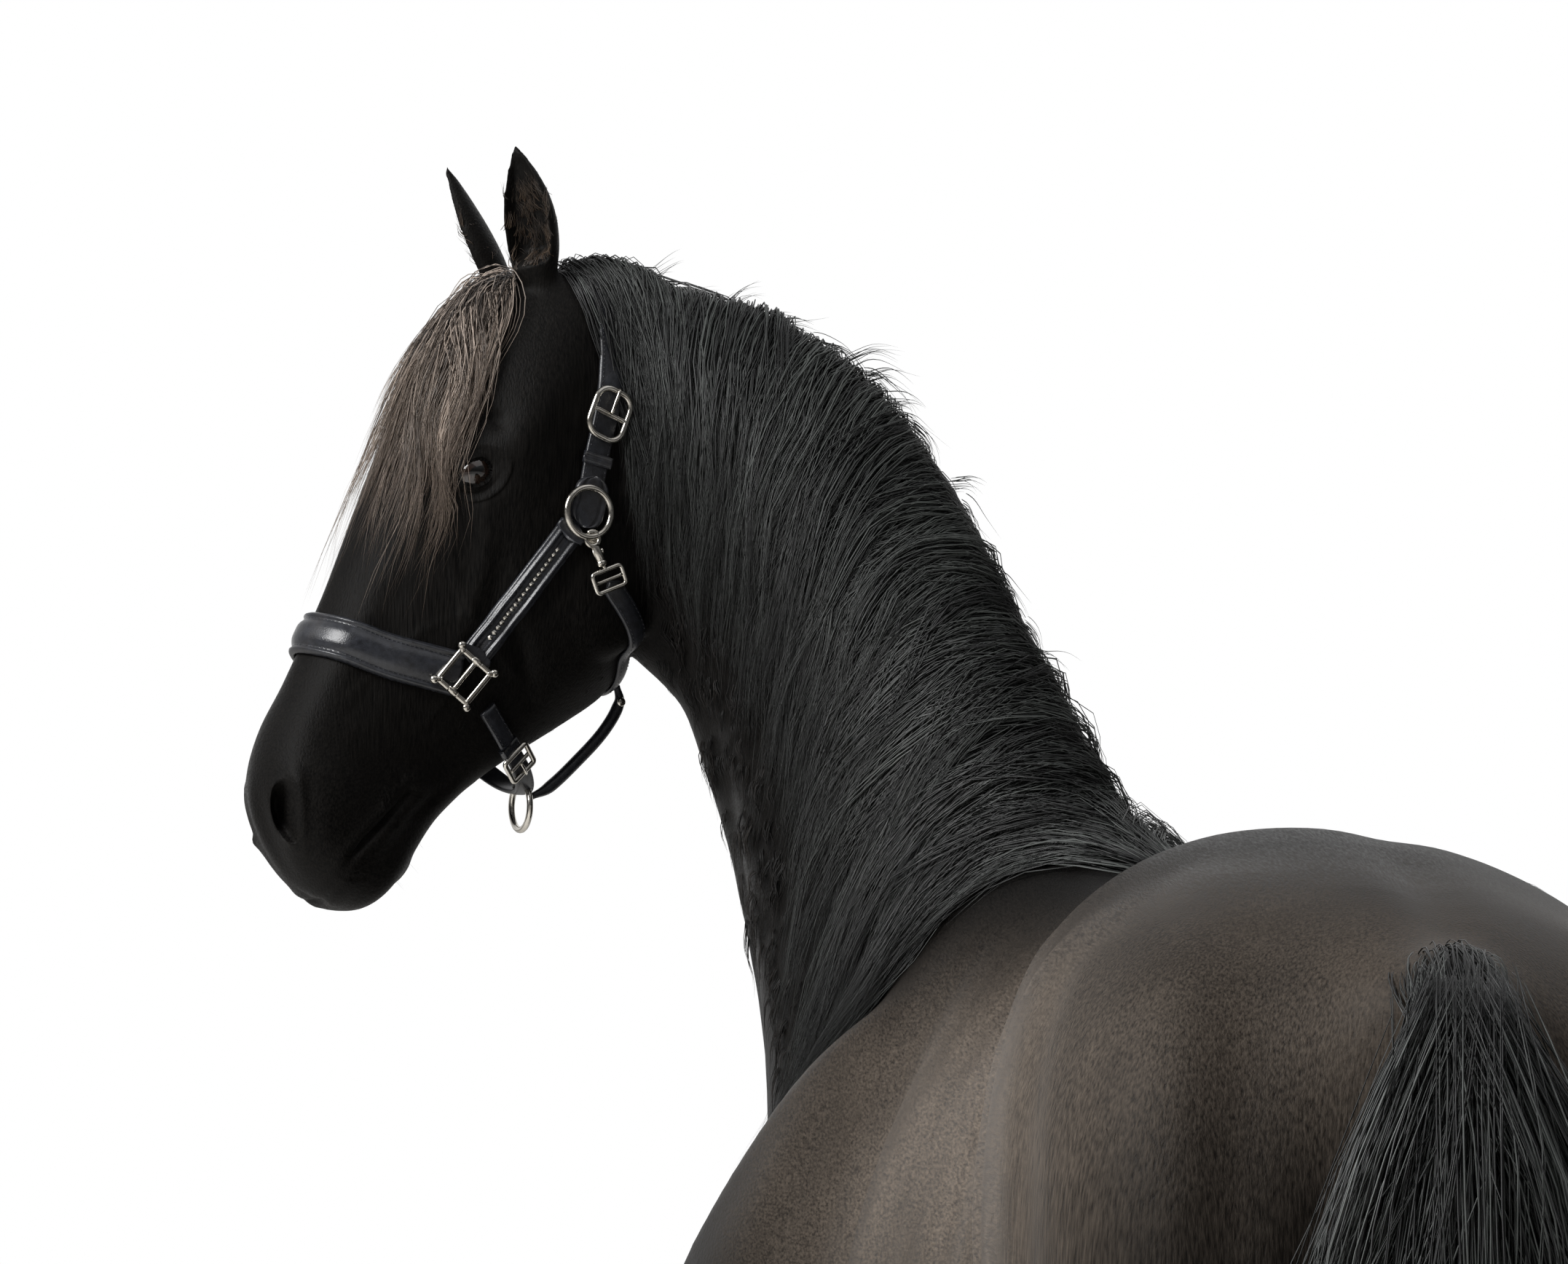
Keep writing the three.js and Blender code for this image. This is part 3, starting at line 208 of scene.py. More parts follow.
HEAD_ROWS = [
    [-55, -75, -112, 20, 30, 30, 26, 12],
    [-30, -34, -136, 40, 60, 64, 54, 32],
    [20, 20, -155, 56, 84, 86, 74, 46],
    [70, 40, -175, 60, 96, 92, 80, 48],
    [120, 52, -198, 63, 104, 97, 84, 48],
    [170, 56, -219, 66, 108, 98, 86, 46],
    [220, 54, -235, 62, 98, 97, 88, 44],
    [270, 50, -242, 56, 84, 92, 84, 40],
    [310, 46, -236, 52, 74, 84, 72, 38],
    [350, 43, -214, 48, 66, 73, 60, 34],
    [400, 42, -182, 45, 60, 62, 50, 31],
    [440, 42, -158, 43, 57, 57, 46, 31],
    [480, 43, -141, 45, 60, 58, 47, 33],
    [515, 37, -134, 48, 66, 63, 51, 36],
    [545, 24, -130, 46, 64, 61, 52, 38],
    [570, -1, -122, 38, 54, 56, 48, 34],
    [586, -28, -110, 26, 38, 42, 36, 24],
    [596, -52, -92, 10, 18, 20, 18, 10],
]
SECTION_HEIGHTS = np.array([0, 0.1, 0.3, 0.55, 0.8, 0.95, 1])
SECTION_PLACES = np.array([0, 0.17, 0.34, 0.52, 0.72, 0.88, 1])
SIDES = {"left": 1, "right": -1}


def leg_axes(line):
    h = float(heading(line))
    return np.array([math.sin(h), -math.cos(h), 0]), np.array([math.cos(h), math.sin(h), 0])


def leg_point(line, side, f, l, z):
    forward, _ = leg_axes(line)
    return body_point(line, side * np.asarray(l, float), z) + forward * np.asarray(f, float)[..., None]


def neck_frame(t):
    t = np.atleast_1d(np.asarray(t, float))

    def middle(at):
        r = read_rows(NECK_ROWS, at)
        return (r[:, 0:3] + r[:, 3:6]) / 2

    r = read_rows(NECK_ROWS, t)
    up = r[:, 0:3] - r[:, 3:6]
    deep = np.linalg.norm(up, axis=1) / 2
    up = unit(up)
    forward = unit(middle(np.minimum(t + 0.05, 8)) - middle(np.maximum(t - 0.05, 0)))
    side = unit(np.cross(up, forward))
    return middle(t), up, side, deep, r[:, 6], r[:, 7], r[:, 8], forward


def neck_surface(t, degrees, lift=0):
    """A place on the neck: t from withers to poll, and an angle round it, 90 at the crest and 0 on the left."""
    t, degrees, lift = [np.atleast_1d(np.asarray(v, float)) for v in (t, degrees, lift)]
    middle, up, side, deep, half, full_crest, full_throat, _ = neck_frame(t)
    a = np.radians(degrees)
    c, s = np.cos(a), np.sin(a)
    power = 2 / np.where(s > 0, full_crest, full_throat)
    x = np.sign(c) * np.abs(c) ** power * (half + lift)
    y = np.sign(s) * np.abs(s) ** power * (deep + lift)
    return middle + side * x[:, None] + up * y[:, None]


POLL = np.array([640, -1580, 2150.0])
_turn, _slope = math.radians(115), math.radians(64)
HEAD_AXES = np.array(
    [
        [math.sin(_turn) * math.cos(_slope), -math.cos(_turn) * math.cos(_slope), -math.sin(_slope)],
        [math.sin(_turn) * math.sin(_slope), -math.cos(_turn) * math.sin(_slope), math.cos(_slope)],
        [math.cos(_turn), math.sin(_turn), 0],
    ]
)  # down the face, out of the forehead, to the head's left


def head_point(u, d, l):
    u, d, l = np.broadcast_arrays(*[np.asarray(a, float) for a in (u, d, l)])
    return POLL + np.stack([u, d, l], -1) @ HEAD_AXES


def head_vector(u, d, l):
    return np.array([u, d, l], float) @ HEAD_AXES


def head_local(p):
    return (np.asarray(p) - POLL) @ HEAD_AXES.T


def head_ring(u, count, grow=0.0):
    """One ring round the head at u, from the middle under the jaw round by the brow and back."""
    row = read_rows(HEAD_ROWS, [u])[0]
    top, bottom, widths = row[0], row[1], row[2:]
    side = np.stack([SECTION_PLACES, [0, *widths, 0], SECTION_HEIGHTS], 1)
    mirrored = np.concatenate([side[:0:-1] * [-1, -1, 1], side])
    wrapped = np.concatenate([mirrored[-3:-1] - [2, 0, 0], mirrored, mirrored[1:3] + [2, 0, 0]])
    v = -1 + 2 * (np.arange(count) + 0.5) / count
    w, h = read_rows(wrapped, v).T
    d = top + (bottom - top) * h
    w1, h1 = read_rows(wrapped, v + 0.01).T
    w0, h0 = read_rows(wrapped, v - 0.01).T
    across, down = w1 - w0, (bottom - top) * (h1 - h0)
    long = np.maximum(np.hypot(across, down), 1e-6)
    return head_point(u, d + grow * across / long, w - grow * down / long)


# ---- from the horse's frame to the model's
EYE_RADIUS = 20.5
EYE_CENTRE = {1: head_point(206, -10, 73), -1: head_point(206, -10, -73)}
_low, _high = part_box("eye_left")
SHIFT = (np.array(_low) + np.array(_high)) / 2 - EYE_CENTRE[1] / 1000


def to_model(p):
    return np.asarray(p, float) / 1000 + SHIFT


# ---- small makers
def linear(hex_colour):
    """sRGB hex to the linear colour that Blender's sockets take."""
    parts = [int(hex_colour[i : i + 2], 16) / 255 for i in (1, 3, 5)]
    return (*[c / 12.92 if c <= 0.04045 else ((c + 0.055) / 1.055) ** 2.4 for c in parts], 1)


def lofted(bm, rings, closed_ends=True):
    """A grid bent into a tube through the rings, its seam welded and its ends capped."""
    rings = np.asarray(rings)
    n, count = rings.shape[:2]
    made = bmesh.ops.create_grid(bm, x_segments=count, y_segments=n - 1, size=1)["verts"]
    by_row = sorted(made, key=lambda v: (round(v.co.y, 5), round(v.co.x, 5)))
    for r in range(n):
        for k in range(count + 1):
            by_row[r * (count + 1) + k].co = rings[r, k % count]
    bmesh.ops.remove_doubles(bm, verts=made, dist=1e-5)
    alive = [v for v in made if v.is_valid]
    if closed_ends:
        rim = [e for e in {e for v in alive for e in v.link_edges} if e.is_boundary]
        bmesh.ops.holes_fill(bm, edges=rim, sides=0)
    return alive


def ball(bm, centre, long_axis, out_axis, radii, detail=4):
    """A rounded swelling: a sphere drawn out along three axes."""
    x = unit(long_axis)
    z = unit(np.cross(x, out_axis))
    y = np.cross(z, x)
    made = bmesh.ops.create_icosphere(bm, subdivisions=detail, radius=1)["verts"]
    for v in made:
        v.co = Vector(centre + x * v.co.x * radii[0] + y * v.co.y * radii[1] + z * v.co.z * radii[2])
    return made


def new_object(name, bm):
    bmesh.ops.recalc_face_normals(bm, faces=bm.faces)
    mesh = bpy.data.meshes.new(name)
    bm.to_mesh(mesh)
    bm.free()
    obj = bpy.data.objects.new(name, mesh)
    bpy.context.scene.collection.objects.link(obj)
    return obj


def coords(mesh):
    out = np.empty(len(mesh.vertices) * 3, np.float32)
    mesh.vertices.foreach_get("co", out)
    return out.reshape(-1, 3).astype(float)


def set_coords(mesh, co):
    mesh.vertices.foreach_set("co", np.asarray(co, np.float32).ravel())
    mesh.update()


def normals(mesh):
    out = np.empty(len(mesh.vertices) * 3, np.float32)
    mesh.vertex_normals.foreach_get("vector", out)
    return out.reshape(-1, 3).astype(float)


def applied(obj, kind, **settings):
    """Adds a modifier and makes its result the object's mesh."""
    modifier = obj.modifiers.new(kind.lower(), kind)
    for key, value in settings.items():
        setattr(modifier, key, value)
    evaluated = obj.evaluated_get(bpy.context.evaluated_depsgraph_get())
    mesh = bpy.data.meshes.new_from_object(evaluated)
    obj.modifiers.clear()
    old, obj.data = obj.data, mesh
    mesh.name = obj.name
    bpy.data.meshes.remove(old)
    return obj


# ---- the flesh, as overlapping forms
COAT_DEPTH = 2.5


def trunk_rings(count=72, rings=70):
    start, end = TRUNK_ROWS[0][0], TRUNK_ROWS[-1][0]
    s = start + (end - start) * (1 - np.cos(np.pi * np.linspace(0, 1, rings))) / 2
    top, bottom, half, widest, full_top, full_bottom = read_rows(TRUNK_ROWS, s).T
    x, y = oval(count, half, half, top - widest, widest - bottom, full_top, full_bottom)
    inset = np.sign(y) * COAT_DEPTH * np.abs(y) / (np.abs(y) + 40)
    return body_point(s[:, None], x * (1 - COAT_DEPTH / 250), widest[:, None] + y - inset)


def leg_rings(rows, line, side, low, count=40, step=12):
    z = np.arange(rows[0][0], low, -step)
    back, front, inner, outer, full = read_rows(rows, z).T
    half, reach = (outer - inner) / 2 - COAT_DEPTH, (front - back) / 2 - COAT_DEPTH
    x, y = oval(count, half, half, reach, reach, full, full)
    return leg_point(line, side, (front + back)[:, None] / 2 + y, (inner + outer)[:, None] / 2 + x, z[:, None] + 0 * x)


def hoof_rings(line, side, heel, levels, grow=0.0, count=48):
    """Rings round the hoof at each level, 0 at the sole and 1 at the crown."""
    forward, left = leg_axes(line)
    outward = left * side
    rings = []
    for k in levels:
        toe, back_up, back, front, half = read_rows(HOOF_LEVELS, [k])[0]
        centre = leg_point(line, side, heel + (front + back) / 2, LEG_CENTRE, (toe + back_up) / 2)
        reach = (front - back) / 2
        lean = unit(forward * reach + np.array([0, 0, (toe - back_up) / 2]))
        long = math.hypot(reach, (toe - back_up) / 2)
        x, y = oval(count, half + grow, half + grow, long + grow, long + grow, 2.1, 2.6)
        rings.append(centre + outward * x[0][:, None] + lean * y[0][:, None])
    return np.array(rings)


def neck_rings(count=64, rings=60, start=0):
    t = np.linspace(start, 8, rings)
    middle, up, side, deep, half, full_crest, full_throat, _ = neck_frame(t)
    half, deep = half - COAT_DEPTH, deep - COAT_DEPTH
    x, y = oval(count, half, half, deep, deep, full_crest, full_throat)
    return middle[:, None] + side[:, None] * x[..., None] + up[:, None] * y[..., None]


EAR_TIPS = {1: [-82, 79, 55], -1: [-67, 94, -60]}
EAR_LENGTH = 118
EAR_MIDDLE = 62  # half-way up the cup
EAR_ROWS = [
    [-20, 17, 14],
    [0, 21, 17],
    [20, 26, 19],
    [46, 27.5, 18],
    [72, 23, 14],
    [94, 14, 9],
    [108, 6.5, 5],
    [118, 1.5, 1.5],
]
EAR_CUP_ROWS = [
    [8, 2, 4, 13],
    [25, 17, 19, 15],
    [46, 22.5, 21, 14],
    [72, 19, 17, 11],
    [93, 11, 11, 8],
    [110, 3, 5, 5],
]


def ear_frame(side):
    base = head_point(10, 8, side * 49)
    axis = unit(head_point(*EAR_TIPS[side]) - base)
    wide = unit(np.cross(axis, head_vector(0.62, 0.62, side * 0.45)))
    return base, axis, wide, unit(np.cross(wide, axis))


def ear_ring(side, at, half, thick, forward, count):
    base, axis, wide, out = ear_frame(side)
    share = np.clip(at / EAR_LENGTH, 0, 1)
    bow = 48 * share * (1 - share)
    centre = base + axis * at + out * (forward - 4) + head_vector(0, 0, side) * bow * 0.5
    x, y = oval(count, half, half, thick, thick, 2, 2)
    return centre + wide * x[0][:, None] + out * y[0][:, None]


HEAD_SWELLINGS = [
    # centre, axis and radii, in the head's frame
    ([184, 4, 62], [1, -0.5, 0], [44, 24, 26]),  # brow
    ([226, -148, 60], [1, 0, 0], [88, 35, 80]),  # cheek
    ([318, -60, 64], [1, 0.08, -0.2], [86, 9, 9]),  # facial crest
    ([545, 0, 41], [1, -0.8, 0], [30, 9, 14]),  # nostril's rim
    ([112, 12, 40], [1, 0.1, 0.1], [84, 34, 34]),  # forehead
]
SLIT_LEAN = math.radians(38)
SLIT_AXIS = head_vector(math.cos(SLIT_LEAN), math.sin(SLIT_LEAN), 0)


def body_flesh():
    bm = bmesh.new()
    lofted(bm, trunk_rings())
    for side in SIDES.values():
        for rows, line, which in ((FORE_ROWS, FORE_LINE, "fore"), (HIND_ROWS, HIND_LINE, "hind")):
            crown = hoof_rings(line, side, HOOF_HEEL[which], [0.8, 1], -4, 40)
            lofted(bm, np.concatenate([leg_rings(rows, line, side, 150), crown[::-1]]))
        for s, left, z, radii in TRUNK_SWELLINGS:
            forward, out = leg_axes(s)
            ball(bm, body_point(s, side * left, z), forward, out * side, radii, 3)
    lofted(bm, neck_rings())
    dock = np.array([[0, back, z] for back, z, _ in DOCK_ROWS])
    rings = []
    for k, (point, (_, _, radius)) in enumerate(zip(dock, DOCK_ROWS)):
        run = unit(dock[min(k + 1, len(dock) - 1)] - dock[max(k - 1, 0)])
        x, y = oval(24, radius, radius, radius * 0.8, radius * 0.8, 2, 2)
        rings.append(point + np.array([1, 0, 0]) * x[0][:, None] + np.cross([1, 0, 0], run) * y[0][:, None])
    lofted(bm, rings)
    return new_object("body_flesh", bm)


DOCK_ROWS = [  # back, height, radius
    [-120, 1478, 20],
    [-60, 1490, 30],
    [0, 1484, 33],
    [34, 1452, 32],
    [56, 1390, 28],
    [62, 1330, 22],
    [62, 1270, 12],
]
TRUNK_SWELLINGS = [
    # forward, left, height, radii: forward, outward, up
    (563, 226, 1462, [44, 22, 38]),  # point of the hip
    (46, 98, 1322, [26, 44, 70]),  # point of the buttock
    (575, 176, 1010, [40, 30, 54]),  # stifle
    (1520, 150, 1190, [58, 58, 76]),  # point of the shoulder
    (1545, 66, 1140, [60, 70, 120]),  # breast
    (1330, 166, 1060, [120, 100, 150]),  # triceps
]


def head_flesh():
    bm = bmesh.new()
    lofted(bm, neck_rings(96, 50, 4.4))
    stations = np.concatenate([np.arange(-55, 540, 7), np.arange(540, 597, 3)])  # closer together at the muzzle
    lofted(bm, [head_ring(u, 96, -COAT_DEPTH) for u in stations])
    ball(bm, head_point(533, -114, 0), head_vector(1, 0.1, 0), head_vector(0, 1, 0), [29, 19, 36])
    for side in (1, -1):
        for centre, axis, radii in HEAD_SWELLINGS:
            at = head_point(centre[0], centre[1], side * centre[2])
            ball(bm, at, head_vector(axis[0], axis[1], side * axis[2]), head_vector(0, 0, side), radii)
        ball(bm, EYE_CENTRE[side], head_vector(0, 0, side), SLIT_AXIS, [EYE_RADIUS + 4] * 3)
        at = np.linspace(-20, EAR_LENGTH, 30)
        lofted(bm, [ear_ring(side, a, *read_rows(EAR_ROWS, [a])[0], 0, 32) for a in at])
    return new_object("head_flesh", bm)


def remeshed(obj, size, rounds):
    """One closed even surface over the overlapping forms, with the steps of the remesh smoothed away."""
    applied(obj, "REMESH", mode="VOXEL", voxel_size=size, use_smooth_shade=True)
    return applied(obj, "SMOOTH", factor=0.5, iterations=rounds)


def relaxed(mesh, weight, rounds):
    """Moves each vertex towards the middle of its neighbours, by its weight, again and again."""
    co = coords(mesh)
    edges = np.empty(len(mesh.edges) * 2, np.int32)
    mesh.edges.foreach_get("vertices", edges)
    a, b = edges.reshape(-1, 2).T
    count = np.bincount(a, minlength=len(co)) + np.bincount(b, minlength=len(co))
    for _ in range(rounds):
        total = np.stack([np.bincount(a, co[b, k], len(co)) + np.bincount(b, co[a, k], len(co)) for k in range(3)], 1)
        co += (total / count[:, None] - co) * 0.5 * weight[:, None]
    set_coords(mesh, co)


SEAM_POINT, SEAM_NORMAL = Vector((450, -1600, 1950)), Vector((1, 0, 0.3)).normalized()


BODY_VOXEL, HEAD_VOXEL = 11.5, 3.4


def one_skin():
    """The coarse body and the fine head, each cut at one plane across the neck and bridged there."""
    body = remeshed(body_flesh(), BODY_VOXEL, 4)
    z = coords(body.data)[:, 2]
    relaxed(body.data, 0.1 + 0.9 * smoothstep(z, 860, 1020), 26)
    head = remeshed(head_flesh(), HEAD_VOXEL, 6)
    head_co = coords(head.data)
    u, d, l = head_local(head_co).T
    # the seams between the forms melt behind the jaw, over the brow and under the jaw; eyes and ears stay crisp
    behind = smoothstep(-d, -20, 30) * (1 - smoothstep(u, 50, 110))
    behind += (1 - smoothstep(u, -30, 0)) * smoothstep(d, -60, 0)
    eye_gaps = [np.linalg.norm(head_co - EYE_CENTRE[s], axis=1) for s in (1, -1)]
    off_eyes = np.min([smoothstep(gap, 38, 92) for gap in eye_gaps], 0) ** 2
    brow = np.exp(-(((u - 130) / 75) ** 2)) * smoothstep(d, -25, 10) * off_eyes
    ear_gaps = [np.linalg.norm(head_co - ear_frame(s)[0] - ear_frame(s)[1] * EAR_MIDDLE, axis=1) for s in (1, -1)]
    off_ears = np.min([smoothstep(gap, 66, 84) for gap in ear_gaps], 0)
    under = np.exp(-((l / 20) ** 2)) * smoothstep(-d, 105, 125)
    under = under * smoothstep(u, 260, 300) * (1 - smoothstep(u, 500, 530))
    relaxed(head.data, np.clip(behind + brow + under * 0.5, 0, 1) * off_ears, 110)
    bm = bmesh.new()
    rims = []
    for obj, sign in ((body, 1), (head, -1)):
        old = set(bm.verts)
        bm.from_mesh(obj.data)
        part = [v for v in bm.verts if v not in old]
        geom = part + list({e for v in part for e in v.link_edges}) + list({f for v in part for f in v.link_faces})
        cut = SEAM_POINT - SEAM_NORMAL * (3 * sign)
        bmesh.ops.bisect_plane(bm, geom=geom, plane_co=cut, plane_no=SEAM_NORMAL * sign, clear_outer=True)
        known = {e for rim in rims for e in rim}
        rims.append([e for e in bm.edges if e.is_boundary and e not in known])
    bmesh.ops.bridge_loops(bm, edges=rims[0] + rims[1])
    near = [v for v in bm.verts if abs((v.co - SEAM_POINT).dot(SEAM_NORMAL)) < 22]
    for _ in range(6):
        bmesh.ops.smooth_vert(bm, verts=near, factor=0.5, use_axis_x=True, use_axis_y=True, use_axis_z=True)
    bmesh.ops.triangulate(bm, faces=[f for f in bm.faces if len(f.verts) > 4])
    bm.verts.ensure_lookup_table()
    walk = [max(bm.verts, key=lambda v: v.co.y)]
    joined = set(walk)
    while walk:
        v = walk.pop()
        fresh = {e.other_vert(v) for e in v.link_edges} - joined
        joined |= fresh
        walk += fresh
    bmesh.ops.delete(bm, geom=[v for v in bm.verts if v not in joined], context="VERTS")
    for obj in (body, head):
        bpy.data.objects.remove(obj)
    made = new_object("skin", bm)
    made.data.shade_smooth()
    return made


SKIN_TRIANGLES = 192000
skin = one_skin()


def tree_of(obj):
    mesh = obj.data
    mesh.calc_loop_triangles()
    tris = np.empty(len(mesh.loop_triangles) * 3, np.int32)
    mesh.loop_triangles.foreach_get("vertices", tris)
    co = coords(mesh)
    return BVHTree.FromPolygons(co.tolist(), tris.reshape(-1, 3).tolist()), tris.reshape(-1, 3), co


# ---- sculpting the skin
def on_surface(tree, points):
    return np.array([tree.find_nearest(Vector(p))[0] for p in points])


def resampled(points, step=12.0):
    """A polyline as a smooth curve of even steps."""
    points = np.asarray(points, float)
    if len(points) < 2:
        return points
    if len(points) == 2:
        n = max(2, int(np.linalg.norm(points[1] - points[0]) / step))
        return points[0] + (points[1] - points[0]) * np.linspace(0, 1, n + 1)[:, None]
    at = length_along(points)
    rows = np.concatenate([at[:, None], points], 1)
    return read_rows(rows, np.linspace(0, at[-1], max(3, int(at[-1] / step) + 1)))


def distance_to(co, line, reach):
    """Distance of each vertex to a polyline, and its share along it; far vertices are left out."""
    low, high = line.min(0) - reach, line.max(0) + reach
    near = np.nonzero(((co > low) & (co < high)).all(1))[0]
    p = co[near]
    best, share = np.full(len(p), 1e9), np.zeros(len(p))
    if len(line) == 1:
        return near, np.linalg.norm(p - line[0], axis=1), share
    for k in range(len(line) - 1):
        a, d = line[k], line[k + 1] - line[k]
        t = np.clip(((p - a) @ d) / max(d @ d, 1e-9), 0, 1)
        r = np.linalg.norm(p - a - t[:, None] * d, axis=1)
        closer = r < best
        best = np.where(closer, r, best)
        share = np.where(closer, (k + t) / (len(line) - 1), share)
    return near, best, share


def head_places(points, side):
    return head_point(*(np.array(points, float) * [1, 1, side]).T)


def trunk_places(points, side):
    s, left, z = (np.array(points, float) * [1, side, 1]).T
    return body_point(s, left, z)


def neck_places(points, side):
    t, degrees = np.array(points, float).T[:2]
    return neck_surface(t, degrees if side > 0 else 180 - degrees)


def leg_places(line):
    return lambda points, side: leg_point(line, side, *np.array(points, float).T)


PLACES = {
    "head": head_places,
    "trunk": trunk_places,
    "neck": neck_places,
    "fore": leg_places(FORE_LINE),
    "hind": leg_places(HIND_LINE),
}

